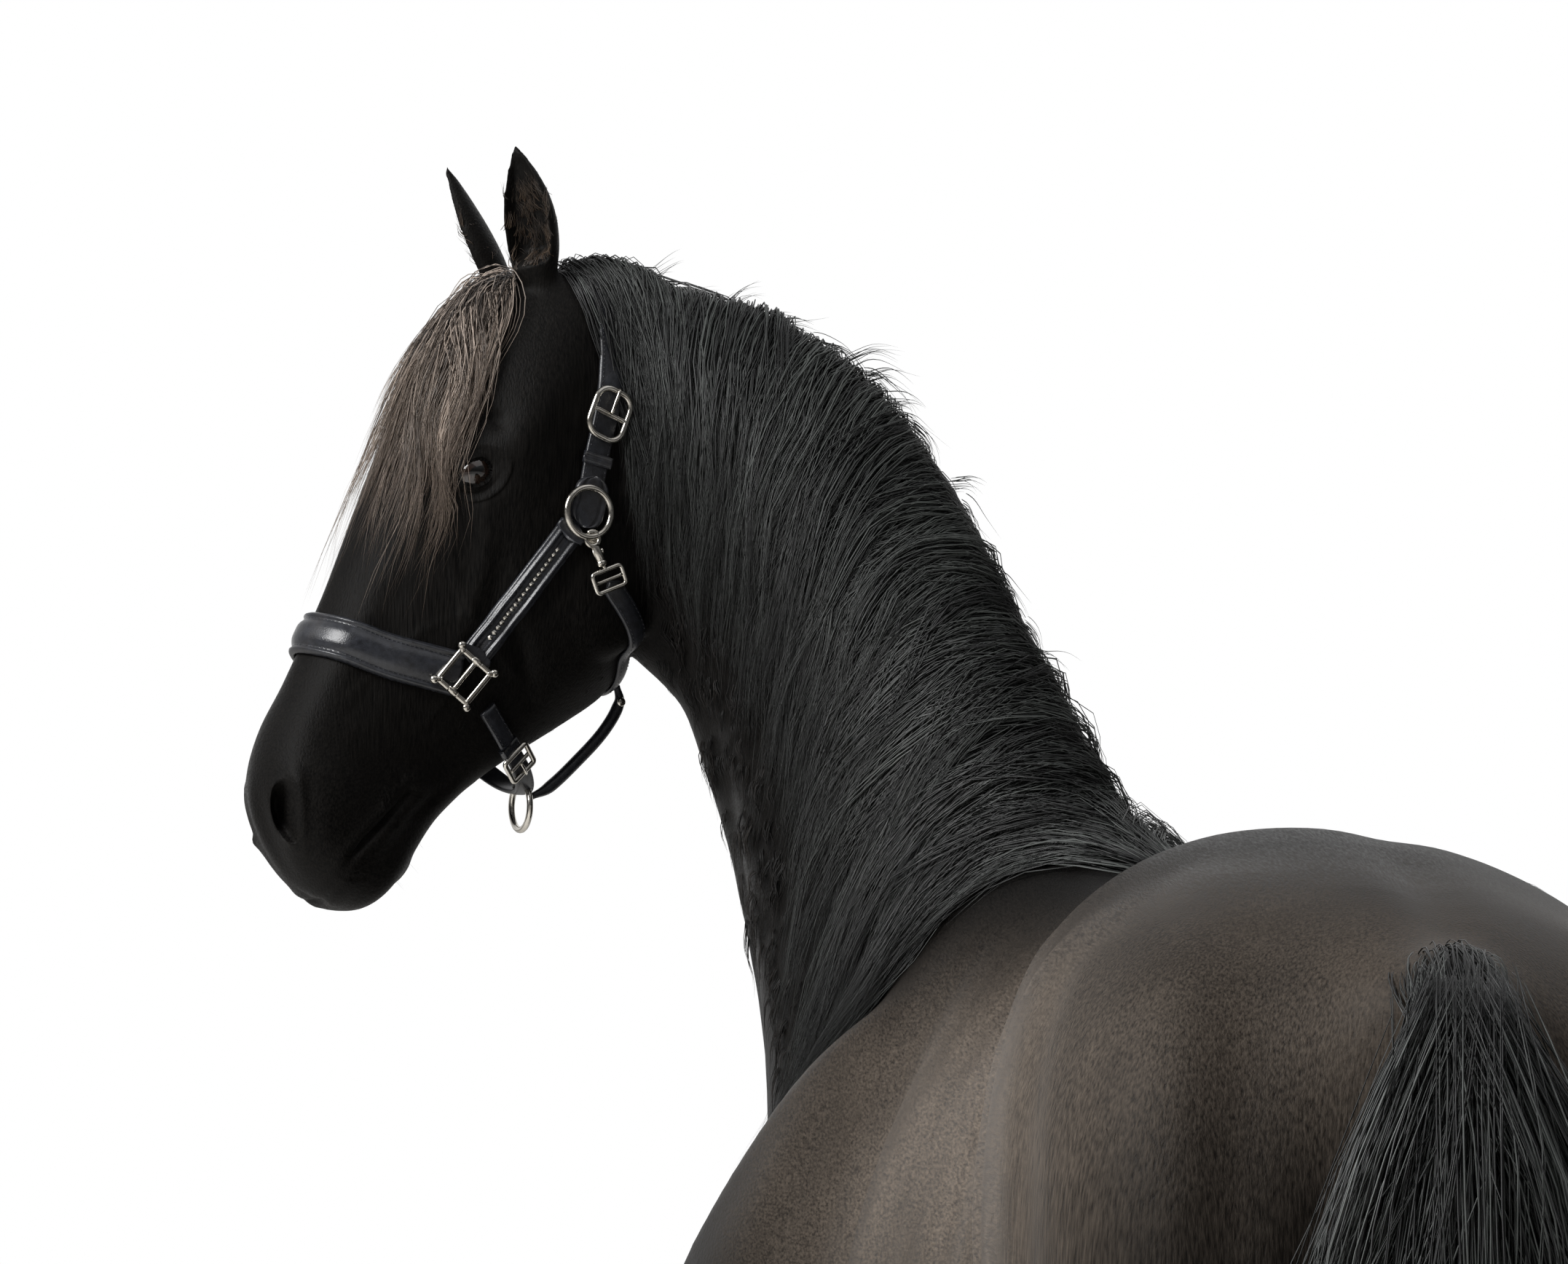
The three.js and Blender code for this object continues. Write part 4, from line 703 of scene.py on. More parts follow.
# Strokes over the skin, by the frame of their points: the points, the width and the height of a ridge,
# below 0 for a groove. Those in the middle of trunk or head have no side; the others are drawn on both.
STROKES = {
    "trunk": [
        # croup: the groove along its middle and the muscles' edges down the buttock
        ([[720, 0, 1580], [560, 0, 1600], [380, 0, 1598], [230, 0, 1566], [110, 0, 1524]], 26, -3.5),
        ([[300, 0, 1580], [200, 0, 1560], [90, 0, 1520]], 20, -6),
        ([[330, 168, 1530], [210, 196, 1420], [150, 214, 1300], [150, 222, 1160], [190, 226, 1040]], 26, -6),
        ([[120, 120, 1480], [60, 142, 1350], [50, 152, 1200], [80, 158, 1060], [110, 160, 960]], 24, -8),
        ([[15, 40, 1400], [4, 70, 1260], [10, 86, 1120], [30, 96, 1000]], 26, 6),
        ([[540, 252, 1462], [430, 262, 1330], [380, 268, 1180], [400, 262, 1060]], 36, -6),
        ([[560, 244, 1440], [580, 262, 1290], [560, 266, 1150], [560, 235, 1040]], 34, 7),
        # flank: the hollow, the fold to the stifle and the line of the ribs
        ([[660, 270, 1420], [690, 286, 1330]], 62, -17),
        ([[620, 268, 1270], [640, 262, 1130], [650, 230, 1000]], 30, -13),
        ([[590, 230, 985], [650, 190, 930], [740, 140, 892]], 26, 12),
        ([[730, 292, 1440], [700, 296, 1330], [720, 296, 1200], [790, 290, 1060], [900, 262, 950]], 24, 5),
        ([[790, 290, 1470], [775, 300, 1330], [800, 300, 1180], [870, 290, 1040]], 18, 1.1),
        ([[850, 290, 1470], [840, 304, 1330], [862, 304, 1180], [930, 292, 1030]], 18, 1.2),
        ([[912, 290, 1465], [904, 306, 1330], [926, 306, 1180], [988, 292, 1030]], 17, 0.9),
        ([[975, 286, 1455], [968, 304, 1330], [990, 304, 1180], [1050, 288, 1040]], 18, 1.0),
        ([[1036, 280, 1440], [1032, 298, 1330], [1054, 296, 1190]], 18, 0.8),
        # back and withers
        ([[1080, 0, 1570], [950, 0, 1552], [800, 0, 1562], [680, 0, 1582]], 22, -5),
        ([[1240, 92, 1560], [1120, 120, 1520], [960, 130, 1520], [760, 130, 1545]], 40, 4),
        # shoulder: blade, its spine, triceps and the groove before the shoulder
        ([[1230, 130, 1540], [1330, 190, 1400], [1450, 220, 1270], [1540, 190, 1190]], 26, 6),
        ([[1190, 150, 1540], [1160, 236, 1430], [1150, 278, 1300], [1150, 288, 1160], [1180, 276, 1050]], 26, -9),
        ([[1440, 226, 1230], [1340, 264, 1150], [1230, 282, 1070]], 22, -6),
        ([[1260, 224, 1420], [1290, 262, 1280], [1340, 266, 1170]], 24, -4),
        ([[1330, 120, 1570], [1440, 180, 1420], [1530, 200, 1300], [1570, 170, 1220]], 24, -8),
        ([[1205, 262, 985], [1190, 250, 950]], 30, 7),
        # breast
        ([[1625, 0, 1290], [1640, 0, 1180], [1600, 0, 1080], [1540, 0, 1000]], 26, -14),
        ([[1600, 120, 1110], [1530, 170, 1050], [1450, 210, 1020]], 20, -6),
        # belly: the middle line and the vein
        ([[1400, 0, 905], [1100, 0, 860], [800, 0, 882]], 22, -5),
        ([[1240, 130, 905], [1100, 150, 880], [960, 150, 880], [850, 130, 900]], 7, 2.4),
    ],
    "neck": [
        # neck: jugular groove, the long muscle and the crest's edge
        ([[0.6, -52], [2, -44], [3.6, -40], [5.2, -36], [6.6, -34]], 24, -7),
        ([[0.5, -12], [2, -12], [4, -14], [6, -16]], 44, 5),
        ([[1, 50], [3, 56], [5, 58], [7, 56]], 24, -5),
        ([[0.6, 26], [2.2, 14], [3.8, 8], [5.6, 0]], 26, -4),
        ([[1, -90], [3, -90], [5, -90]], 30, 5),
    ],
    "fore": [
        # forelegs
        ([[62, 250, 930], [48, 226, 800], [34, 206, 680], [26, 200, 590]], 13, -6),
        ([[-46, 246, 920], [-40, 222, 800], [-34, 205, 690], [-38, 198, 600]], 13, -5),
        ([[10, 254, 900], [4, 230, 780]], 34, 5),
        ([[64, 150, 548], [66, 156, 490]], 20, 4),
        ([[-30, 200, 470], [-24, 190, 400], [-22, 184, 320], [-24, 186, 262]], 8, -6),
        ([[-30, 106, 470], [-24, 116, 400], [-22, 122, 320], [-24, 118, 262]], 8, -6),
        ([[-52, 154, 540], [-60, 154, 500]], 18, 4),
    ],
    "hind": [
        # hind legs
        ([[150, 226, 900], [112, 214, 790], [76, 204, 700], [60, 198, 650]], 18, -13),
        ([[150, 76, 900], [112, 90, 790], [76, 98, 700], [60, 102, 650]], 18, -11),
        ([[330, 238, 950], [280, 220, 830], [225, 205, 720]], 15, -5),
        ([[250, 232, 930], [210, 216, 830]], 36, 6),
        ([[186, 190, 640], [170, 196, 590], [160, 196, 545]], 20, 5),
        ([[60, 196, 545], [74, 186, 470], [72, 178, 380], [70, 178, 280]], 8, -6),
        ([[60, 100, 545], [74, 112, 470], [72, 120, 380], [70, 120, 280]], 8, -6),
    ],
    "head": [
        # head: cheek, cheekbone, hollows, veins and folds
        ([[352, -150, 50], [322, -120, 74], [296, -82, 82]], 9, -4),
        ([[224, -24, 101], [262, -46, 92], [310, -60, 80], [350, -66, 68]], 8, 2.6),
        ([[262, -66, 92], [310, -78, 80], [352, -82, 70]], 8, -2.6),
        ([[300, 4, 60], [360, -6, 54], [430, -14, 50]], 18, -3.4),
        ([[164, 2, 92], [150, -6, 96]], 13, -7),
        ([[196, -24, 104], [160, -34, 106], [120, -42, 102], [80, -52, 94]], 15, 2),
        ([[30, -60, 84], [60, -96, 92], [90, -130, 90], [130, -175, 78]], 12, -5),
        ([[70, -84, 96], [92, -94, 98]], 16, 4),
        ([[346, -156, 48], [338, -110, 72], [318, -62, 86], [290, -28, 80], [262, -12, 84]], 3.6, 1.7),
        ([[318, -62, 86], [352, -34, 66], [398, -14, 54], [436, -6, 48]], 3.2, 1.5),
        ([[338, -110, 72], [380, -86, 62], [430, -74, 58]], 3.0, 1.3),
        ([[500, -102, 52], [470, -120, 48], [450, -130, 42]], 5, -1.6),
        ([[474, -80, 56], [480, -92, 54], [476, -104, 50]], 3.4, -2.4),
        ([[466, -76, 57], [470, -92, 55], [466, -108, 50]], 3.4, 1.2),
        ([[478, -141, 0], [492, -136, 0], [500, -134, 0]], 12, -3),
        ([[300, -236, 0], [350, -212, 0], [410, -180, 0], [450, -156, 0]], 16, -4),
        ([[250, 56, 0], [330, 45, 0], [420, 42, 0]], 10, 1.6),
        ([[530, 22, 14], [560, -4, 16], [580, -34, 14]], 10, -2.0),
        ([[590, -46, 0], [597, -62, 0], [594, -80, 0]], 5, -1.6),
    ],
}


def stroked(obj):
    """Raises and lowers the skin along the strokes, on both sides of the horse."""
    tree, _, co = tree_of(obj)
    out = normals(obj.data)
    move = np.zeros(len(co))
    for where, points, width, height in [(where, *row) for where, rows in STROKES.items() for row in rows]:
        sideways = {"trunk": 1, "head": 2}.get(where)
        middle = sideways is not None and all(p[sideways] == 0 for p in points)
        for side in (1,) if middle else (1, -1):
            line = on_surface(tree, resampled(PLACES[where](points, side), max(6.0, width * 0.7)))
            near, r, share = distance_to(co, line, width * 2.4)
            fade = 0.25 + 0.75 * np.sin(np.pi * np.clip(share, 0.02, 0.98)) ** 0.6 if len(line) > 1 else 1
            move[near] += height * np.exp(-((r / width) ** 2)) * fade
    return co + out * move[:, None]


# The slit between the lids, from its front corner over the upper lid and back under the ball.
SLIT = np.array(
    [[-19, 0], [-14, 8.6], [-5, 13.2], [5.5, 13], [14, 7.8], [20, 0], [13.5, -7], [3, -10.4], [-9.5, -8.8]], float
)
SLIT_REACH = 62  # how far the lids and their folds go round the ball
LID_THICKNESS = 2.2


def closed_curve(points, count):
    rows = np.concatenate([points[-3:], points, points[:3]])
    at = np.arange(-3, len(points) + 3)
    return read_rows(np.concatenate([at[:, None], rows], 1), np.linspace(0, len(points), count, endpoint=False))


def inside_distance(xy, outline):
    """Signed distance to a closed outline, above 0 inside, and the outline's nearest place."""
    a, b = outline, np.roll(outline, -1, 0)
    d = b - a
    rel = xy[:, None] - a[None]
    t = np.clip((rel * d).sum(-1) / (d * d).sum(-1), 0, 1)
    foot = a[None] + t[..., None] * d
    r = np.linalg.norm(xy[:, None] - foot, axis=-1)
    k = r.argmin(1)
    cross = (xy[:, None, 1] - a[None, :, 1]) * (b[None, :, 0] - a[None, :, 0]) - (xy[:, None, 0] - a[None, :, 0]) * (
        b[None, :, 1] - a[None, :, 1]
    )
    up = (a[None, :, 1] <= xy[:, None, 1]) & (b[None, :, 1] > xy[:, None, 1]) & (cross > 0)
    down = (a[None, :, 1] > xy[:, None, 1]) & (b[None, :, 1] <= xy[:, None, 1]) & (cross < 0)
    inside = (up.sum(1) - down.sum(1)) != 0
    rows = np.arange(len(xy))
    return np.where(inside, r[rows, k], -r[rows, k]), foot[rows, k]


def eye_axes(side):
    out = unit(head_vector(0.05, 0.12, side))
    across = unit(np.cross(out, SLIT_AXIS)) * side
    along = unit(np.cross(across, out)) * side
    return along * np.sign(along @ SLIT_AXIS), across, out


def lids(co, side):
    """Opens the slit between the lids, rolls their edges over the ball and folds the skin round them."""
    along, across, out = eye_axes(side)
    local = (co - EYE_CENTRE[side]) @ np.stack([along, across, out], 1)
    near = np.nonzero((np.linalg.norm(local, axis=1) < SLIT_REACH) & (local[:, 2] > 2))[0]
    p = local[near]
    xy = p[:, :2]
    outline = closed_curve(SLIT, 72)
    d, foot = inside_distance(xy, outline)
    r = np.linalg.norm(p, axis=1)
    ball_r = EYE_RADIUS + LID_THICKNESS
    # lids lie close round the ball near the slit
    hug = np.exp(-((np.maximum(-d, 0) / 7.0) ** 2)) * (d <= 0)
    edge = np.exp(-((np.maximum(-d - 1.2, 0) / 2.4) ** 2)) * (d <= 0)
    upper = xy[:, 1] > 0
    target = ball_r + edge * np.where(upper, 1.1, 0.5)
    fold = -np.where(upper, 2.6, 1.2) * np.exp(-(((-d - 8.5) / 2.2) ** 2)) - np.where(upper, 1.3, 0.5) * np.exp(
        -(((-d - 15) / 2.8) ** 2)
    )
    fold += np.where(upper, 1.6, 0.8) * np.exp(-(((-d - 11.8) / 2.0) ** 2))
    new_r = r * (1 - hug) + target * hug + fold
    scale = new_r / np.maximum(r, 1e-6)
    q = p * scale[:, None]
    # inside the slit the skin turns in behind the ball
    snap = np.abs(d) < 1.0
    inner = (d > 0) & ~snap
    depth = np.clip((d - 1.0) / 1.6, 0, 1)
    q[inner] = p[inner] / r[inner][:, None] * (ball_r + (EYE_RADIUS - 3.5 - ball_r) * depth[inner][:, None])
    z = np.sqrt(np.maximum(target**2 - (foot**2).sum(1), 1))
    q[snap] = np.stack([foot[snap, 0], foot[snap, 1], z[snap]], 1)
    co = co.copy()
    co[near] = q @ np.stack([along, across, out]) + EYE_CENTRE[side]
    return co


def nostril_centre(side):
    return head_point(551, 5, side * 56)


def nostril(co, side):
    """A deep comma, its rim raised and its upper end drawn out into a fold."""
    centre = nostril_centre(side)
    out = unit(head_vector(0.25, 0.1, side))
    axis = head_vector(1, -0.85, 0)
    axis = unit(axis - out * (axis @ out))
    across = unit(np.cross(out, axis)) * side
    local = (co - centre) @ np.stack([axis, across, out], 1)
    near = np.nonzero((np.linalg.norm(local, axis=1) < 60) & (local[:, 2] > -30))[0]
    p = local[near]
    x = p[:, 0] / 28
    bend = 5 * (np.clip(x, -1.4, 1.4) ** 2 - 0.4)
    y = (p[:, 1] - bend) / (12.5 - 3.5 * np.clip(x, -1.4, 1.4))
    r = np.hypot(x, y)
    hollow = -34 * np.clip(1 - r**2, 0, 1) ** 0.8
    rim = 2.8 * np.exp(-(((r - 1.3) / 0.35) ** 2)) * (1 - 0.5 * np.clip(x, -1.5, 1.5))
    away = (1 - smoothstep(np.linalg.norm(p, axis=1), 36, 60)) * smoothstep(p[:, 2], -26, -8)
    p[:, 2] += (hollow + rim) * away
    co = co.copy()
    co[near] = p @ np.stack([axis, across, out]) + centre
    return co


# The line between the lips, from the corner of the mouth to the middle of its front.
LIP = np.array(
    [[479, -92, 51], [510, -81, 55], [537, -71, 57], [560, -64, 52], [577, -65, 40], [588, -69, 24], [594, -73, 0.0]]
)
LIP_FRONT = head_point(592, -73, 0)


def mouth(co, out):
    """The line between the lips, with both lips rolled towards it."""
    line = resampled(head_places(np.concatenate([LIP, LIP[-2::-1] * [1, 1, -1]]), 1), 4)
    near, r, _ = distance_to(co, line, 40)
    local = head_local(co[near])
    row = head_local(line)
    k = np.abs(row[None, :, 2] - local[:, None, 2]).argmin(1)
    above = local[:, 1] - row[k, 1]
    height = -7 * np.exp(-((r / 2.5) ** 2)) + 1.8 * np.exp(-(((r - 8) / 5) ** 2))
    height += np.where(above < 0, 1.6, 0.4) * np.exp(-(((r - 14) / 7) ** 2))
    height *= 0.3 + 0.7 * smoothstep(np.abs(local[:, 2]), 8, 30)
    moved = co.copy()
    moved[near] += out[near] * height[:, None]
    return moved


def ear_cups(co, side):
    """Hollows the front of each ear into a cup with thin edges."""
    base, axis, wide, out = ear_frame(side)
    rel = co - base
    at = rel @ axis
    near = np.nonzero((at > 4) & (at < 112) & (np.linalg.norm(rel - at[:, None] * axis, axis=1) < 60))[0]
    p = rel[near]
    at = at[near]
    share = np.clip(at / EAR_LENGTH, 0, 1)
    bow = 24 * share * (1 - share)
    middle = axis * at[:, None] - out * 4 + head_vector(0, 0, side) * bow[:, None]
    w, f = (p - middle) @ wide, (p - middle) @ out
    half, thick, forward = read_rows(EAR_CUP_ROWS, at).T
    outer_half, outer_thick = read_rows(EAR_ROWS, at).T
    inside = np.clip(1 - (w / np.maximum(outer_half - 2.2, 1)) ** 2, 0, 1)
    front = f > 0
    floor = -(outer_thick - 4.5) * np.sqrt(inside)
    mask = front & (inside > 0)
    ease = smoothstep(inside, 0.0, 0.28) * smoothstep(at, 6, 22) * (1 - smoothstep(at, 98, 114))
    target = f * (1 - ease) + floor * ease
    move = np.where(mask, target - f, 0)
    co = co.copy()
    co[near] += out * move[:, None]
    return co


def finer_near(obj, spots):
    """Splits the faces round small forms, so that their edges can be drawn crisply."""
    bm = bmesh.new()
    bm.from_mesh(obj.data)
    for centre, radius, cuts in spots:
        c = Vector(centre)
        edges = [e for e in bm.edges if all((v.co - c).length < radius for v in e.verts)]
        bmesh.ops.subdivide_edges(bm, edges=edges, cuts=cuts, use_grid_fill=True, smooth=0.0)
    bmesh.ops.triangulate(bm, faces=[f for f in bm.faces if len(f.verts) > 4])
    mesh = obj.data
    bm.to_mesh(mesh)
    bm.free()
    mesh.update()


set_coords(skin.data, stroked(skin))
ear_middles = {s: ear_frame(s)[0] + ear_frame(s)[1] * EAR_MIDDLE for s in (1, -1)}
finer_near(skin, [(ear_middles[s], 66, 1) for s in (1, -1)])
for side in (1, -1):
    set_coords(skin.data, ear_cups(coords(skin.data), side))
ear_gaps = [np.linalg.norm(coords(skin.data) - m, axis=1) for m in ear_middles.values()]
at_ears = 1 - smoothstep(np.min(ear_gaps, 0), 60, 80)
relaxed(skin.data, np.maximum(at_ears, 0.3), 5)
# where the faces are split: centre, radius, cuts
spots = [(EYE_CENTRE[s] + eye_axes(s)[2] * 18, 34, 2) for s in (1, -1)]
spots += [(nostril_centre(s), 42, 1) for s in (1, -1)]
spots += [(head_point(u, d, s * l), 19, 1) for u, d, l in LIP[1::2] for s in (1, -1)]
spots += [(LIP_FRONT, 24, 1)]
finer_near(skin, spots)
rims = np.zeros(len(skin.data.vertices))
for centre, radius, _ in spots:
    rims = np.maximum(rims, np.exp(-(((np.linalg.norm(coords(skin.data) - centre, axis=1) - radius) / 5) ** 2)))
relaxed(skin.data, rims, 8)
for side in (1, -1):
    set_coords(skin.data, nostril(coords(skin.data), side))
set_coords(skin.data, mouth(coords(skin.data), normals(skin.data)))
soft = np.zeros(len(skin.data.vertices))
for centre, radius in [(nostril_centre(s), 34) for s in (1, -1)] + [(LIP_FRONT, 20)]:
    soft = np.maximum(soft, np.exp(-((np.linalg.norm(coords(skin.data) - centre, axis=1) / radius) ** 2)))
relaxed(skin.data, soft, 5)
for side in (1, -1):
    set_coords(skin.data, lids(coords(skin.data), side))
# nothing hangs below the line of the jaw
places = head_local(coords(skin.data))
line = read_rows(np.array(HEAD_ROWS)[:, [0, 2]], np.clip(places[:, 0], 0, 590))[:, 0] + COAT_DEPTH
drop = (line - places[:, 1]) * (np.abs(places[:, 2]) < 14) * (places[:, 0] > 370) * (places[:, 0] < 512)
set_coords(skin.data, coords(skin.data) + HEAD_AXES[1] * np.clip(drop, 0, 12)[:, None])
count = sum(len(p.vertices) - 2 for p in skin.data.polygons)
applied(skin, "DECIMATE", ratio=min(1, SKIN_TRIANGLES / count))
skin.data.shade_smooth()


# ---- hair: locks combed over the skin
BAKE_PATCH = 0.003


def unwrapped(obj):
    """An unwrap of the skin's own shape, named as the bake map."""
    obj.data.uv_layers.new(name="OFBake")
    bpy.context.view_layer.objects.active = obj
    obj.select_set(True)
    bpy.ops.object.mode_set(mode="EDIT")
    bpy.ops.mesh.select_all(action="SELECT")
    bpy.ops.uv.smart_project(angle_limit=math.radians(66), island_margin=0.002)
    bpy.ops.object.mode_set(mode="OBJECT")
    obj.select_set(False)
    obj.data.calc_loop_triangles()
    loops = np.empty(len(obj.data.loop_triangles) * 3, np.int32)
    obj.data.loop_triangles.foreach_get("loops", loops)
    uv = np.empty(len(obj.data.loops) * 2, np.float32)
    obj.data.uv_layers["OFBake"].data.foreach_get("uv", uv)
    return uv.reshape(-1, 2)[loops].reshape(-1, 3, 2)


skin_uv = unwrapped(skin)
skin_tree, skin_tris, skin_co = tree_of(skin)


def nearest(p):
    """The skin's nearest place and its outward normal."""
    place, normal, *_ = skin_tree.find_nearest(Vector(p))
    return np.array(place), np.array(normal)


def combed(starts, pull, length, steps, lift, rise=0.0):
    """Guides laid over the skin: each step follows the pull along the surface, at a height above it."""
    paths, outs = np.zeros((len(starts), steps + 1, 3)), np.zeros((len(starts), steps + 1, 3))
    for g, start in enumerate(starts):
        place, normal = nearest(start)
        for k in range(steps + 1):
            share = k / steps
            height = lift[g] * smoothstep(share, 0, 0.12) + rise * math.sin(math.pi * min(share * 4, 1))
            paths[g, k] = place + normal * (height - 3 * (k == 0))
            outs[g, k] = normal
            way = np.array(pull(g, k, place, normal), float)
            way -= normal * way.dot(normal)
            way /= max(np.linalg.norm(way), 1e-6)
            place, fresh = nearest(place + way * length[g] / steps)
            normal = unit(normal * 0.45 + fresh * 0.55)
    return paths, outs


def eased(rows, rounds):
    """Rows drawn towards their neighbours, again and again, with both ends held."""
    rows = rows.copy()
    for _ in range(rounds):
        rows[1:-1] = rows[1:-1] * 0.5 + (rows[:-2] + rows[2:]) * 0.25
    return rows


HAIR_SHAPES = {
    # by the start of the piece's name: strands to a lock, its width and depth, rings to a strand, its wave,
    # the share of the width that is left when the lock has drawn together, the wavelength, the shortest strand, fray
    "mane_a": (20, 24, 5, 10, 4.5, 0.42, 210, 0.55, 1.2),
    "mane_b": (20, 22, 5, 10, 4.5, 0.42, 210, 0.55, 1.2),
    "mane_c": (20, 20, 5, 10, 4.5, 0.42, 210, 0.55, 1.2),
    "mane_d": (18, 17, 5, 10, 4.5, 0.42, 210, 0.55, 1.2),
    "mane_wisps": (11, 9, 5, 12, 1.5, 0.8, 60, 0.35, 3.0),
    "forelock_side": (9, 16, 6, 12, 5, 0.5, 150, 0.5, 2.5),
    "forelock": (18, 14, 6, 11, 4.5, 0.32, 170, 0.45, 1.8),
    "body_coat": (4, 11, 1, 4, 0.8, 0.45, 30, 0.5, 0.4),
    "face_coat": (4, 5, 1, 4, 0.8, 0.45, 30, 0.5, 0.4),
    "neck_curls": (6, 9, 1, 8, 3.4, 0.45, 36, 0.5, 1.4),
    "ear_fuzz": (7, 6, 1, 6, 1.2, 0.45, 30, 0.5, 1.2),
    "chin_hairs": (2, 3, 3, 6, 0.2, 1.0, 60, 0.6, 0.2),
    "tail_top": (14, 17, 5, 9, 3, 0.6, 150, 0.5, 1.6),
    "tail": (18, 28, 14, 12, 6, 0.42, 330, 0.55, 2.2),
    "feather": (14, 22, 8, 8, 4, 0.5, 150, 0.6, 2.2),
}


def strands(paths, outs, per, wide, deep, rings, wave, gather, wavelength, shortest, fray):
    """Strands of each clump: they leave the root side by side, draw together along the guide and fray at the tip."""
    guides, steps = paths.shape[:2]
    n = guides * per
    g = np.repeat(np.arange(guides), per)
    reach = 1 - (1 - shortest) * rng.random(n) ** 1.6
    t = np.linspace(0, 1, rings)[None] ** 1.5 * reach[:, None]
    x = t * (steps - 1)
    i = np.clip(x.astype(int), 0, steps - 2)
    f = (x - i)[..., None]
    base = paths[g[:, None], i] * (1 - f) + paths[g[:, None], i + 1] * f
    out = unit(outs[g[:, None], i] * (1 - f) + outs[g[:, None], i + 1] * f)
    run = unit(np.gradient(base, axis=1))
    side = unit(np.cross(run, out))
    a, b = rng.normal(0, 0.5, n), rng.normal(0, 0.5, n)
    length = np.linalg.norm(np.diff(paths, axis=1), axis=2).sum(1)[g]
    draw = 1 - (1 - gather) * smoothstep(t, 0.05, 0.7)
    phase = rng.random((guides, 2))[g] * 2 * np.pi + rng.normal(0, 0.35, (n, 2))
    turn = 2 * np.pi * t * (length / wavelength)[:, None]
    swell = smoothstep(t, 0.03, 0.35)
    own = rng.normal(0, 1, (n, 2))
    sway = a[:, None] * wide * draw + swell * (wave * np.sin(turn + phase[:, :1]) + fray * t**2 * own[:, :1] * 3)
    rise = 0.35 * wave * np.sin(turn * 0.8 + phase[:, 1:]) + fray * t**2 * np.abs(own[:, 1:]) * 1.2
    lift = b[:, None] * deep * draw + swell * rise
    return base + side * sway[..., None] + out * lift[..., None], out


def bake_roots(mesh, roots, per):
    """Gives each strand a patch of the bake map at its root's place on the skin's own unwrap."""
    places = np.empty((len(roots), 2))
    for k, root in enumerate(roots):
        place, _, face, _ = skin_tree.find_nearest(Vector(root))
        a, b, c = skin_co[skin_tris[face]]
        shares = np.linalg.lstsq(np.stack([a, b, c], 1), np.array(place), rcond=None)[0]
        places[k] = shares @ skin_uv[face]
    vertex = np.empty(len(mesh.loops), np.int32)
    mesh.loops.foreach_get("vertex_index", vertex)
    within = vertex % per
    corner = np.stack([(within % 3) / 2 - 0.5, within / per - 0.5], 1) * BAKE_PATCH
    uv = mesh.uv_layers.new(name="OFBake")
    uv.data.foreach_set("uv", np.clip(places[vertex // per] + corner, 0, 1).astype(np.float32).ravel())


STRAND_FLATNESS = 0.5  # thickness to width
ROOT_SHARE = 0.6  # width of the root to the widest place


def hair_mesh(name, paths, outs, width, tones):
    """Closed tapered strands of three sides, each ending in a point, with a small patch of the bake map at its root."""
    n, rings = paths.shape[:2]
    width = np.broadcast_to(np.asarray(width, float), (n,))
    run = unit(np.gradient(paths, axis=1))
    side = unit(np.cross(run, outs))
    out = np.cross(side, run)
    t = np.linspace(0, 1, rings)
    share = (ROOT_SHARE + (1 - ROOT_SHARE) * smoothstep(t, 0, 0.2)) * (1 - 0.85 * smoothstep(t, 0.35, 1))
    half = width[:, None] / 2 * share[None]
    across, up = side * half[..., None], out * (half * 2 * STRAND_FLATNESS)[..., None]
    ring = np.stack([paths + across, paths + up, paths - across], 2)
    verts = np.concatenate([ring[:, :-1].reshape(n, -1, 3), paths[:, -1:]], 1)
    per = verts.shape[1]
    k = np.arange(rings - 2)[:, None] * 3
    j = np.array([0, 1, 2])[None]
    after = (j + 1) % 3
    quads = np.stack([k + j, k + j + 3, k + after + 3, k + after], -1).reshape(-1, 4)
    last = (rings - 2) * 3
    tris = np.array([[last, per - 1, last + 1], [last + 1, per - 1, last + 2], [last + 2, per - 1, last], [0, 1, 2]])
    offset = (np.arange(n) * per)[:, None, None]
    loops = np.concatenate(
        [(quads[None] + offset).reshape(n, -1), (tris[None] + offset).reshape(n, -1)], 1
    )
    sizes = np.tile(np.concatenate([np.full(len(quads), 4), np.full(len(tris), 3)]), n)
    mesh = bpy.data.meshes.new(name)
    mesh.vertices.add(n * per)
    mesh.vertices.foreach_set("co", to_model(verts.reshape(-1, 3)).astype(np.float32).ravel())
    mesh.loops.add(loops.size)
    mesh.loops.foreach_set("vertex_index", loops.astype(np.int32).ravel())
    mesh.polygons.add(len(sizes))
    mesh.polygons.foreach_set("loop_start", np.concatenate([[0], np.cumsum(sizes)[:-1]]).astype(np.int32))
    mesh.polygons.foreach_set("use_smooth", np.ones(len(sizes), bool))
    mesh.update()
    mesh.validate()
    tone = mesh.attributes.new("tone", "FLOAT", "POINT")
    tone.data.foreach_set("value", np.repeat(tones, per).astype(np.float32))
    along = mesh.attributes.new("along", "FLOAT", "POINT")
    place = np.concatenate([np.repeat(t[:-1], 3), [1]])
    along.data.foreach_set("value", np.tile(place, n).astype(np.float32))
    obj = bpy.data.objects.new(name, mesh)
    bpy.context.scene.collection.objects.link(obj)
    bake_roots(mesh, paths[:, 1], per)
    return obj


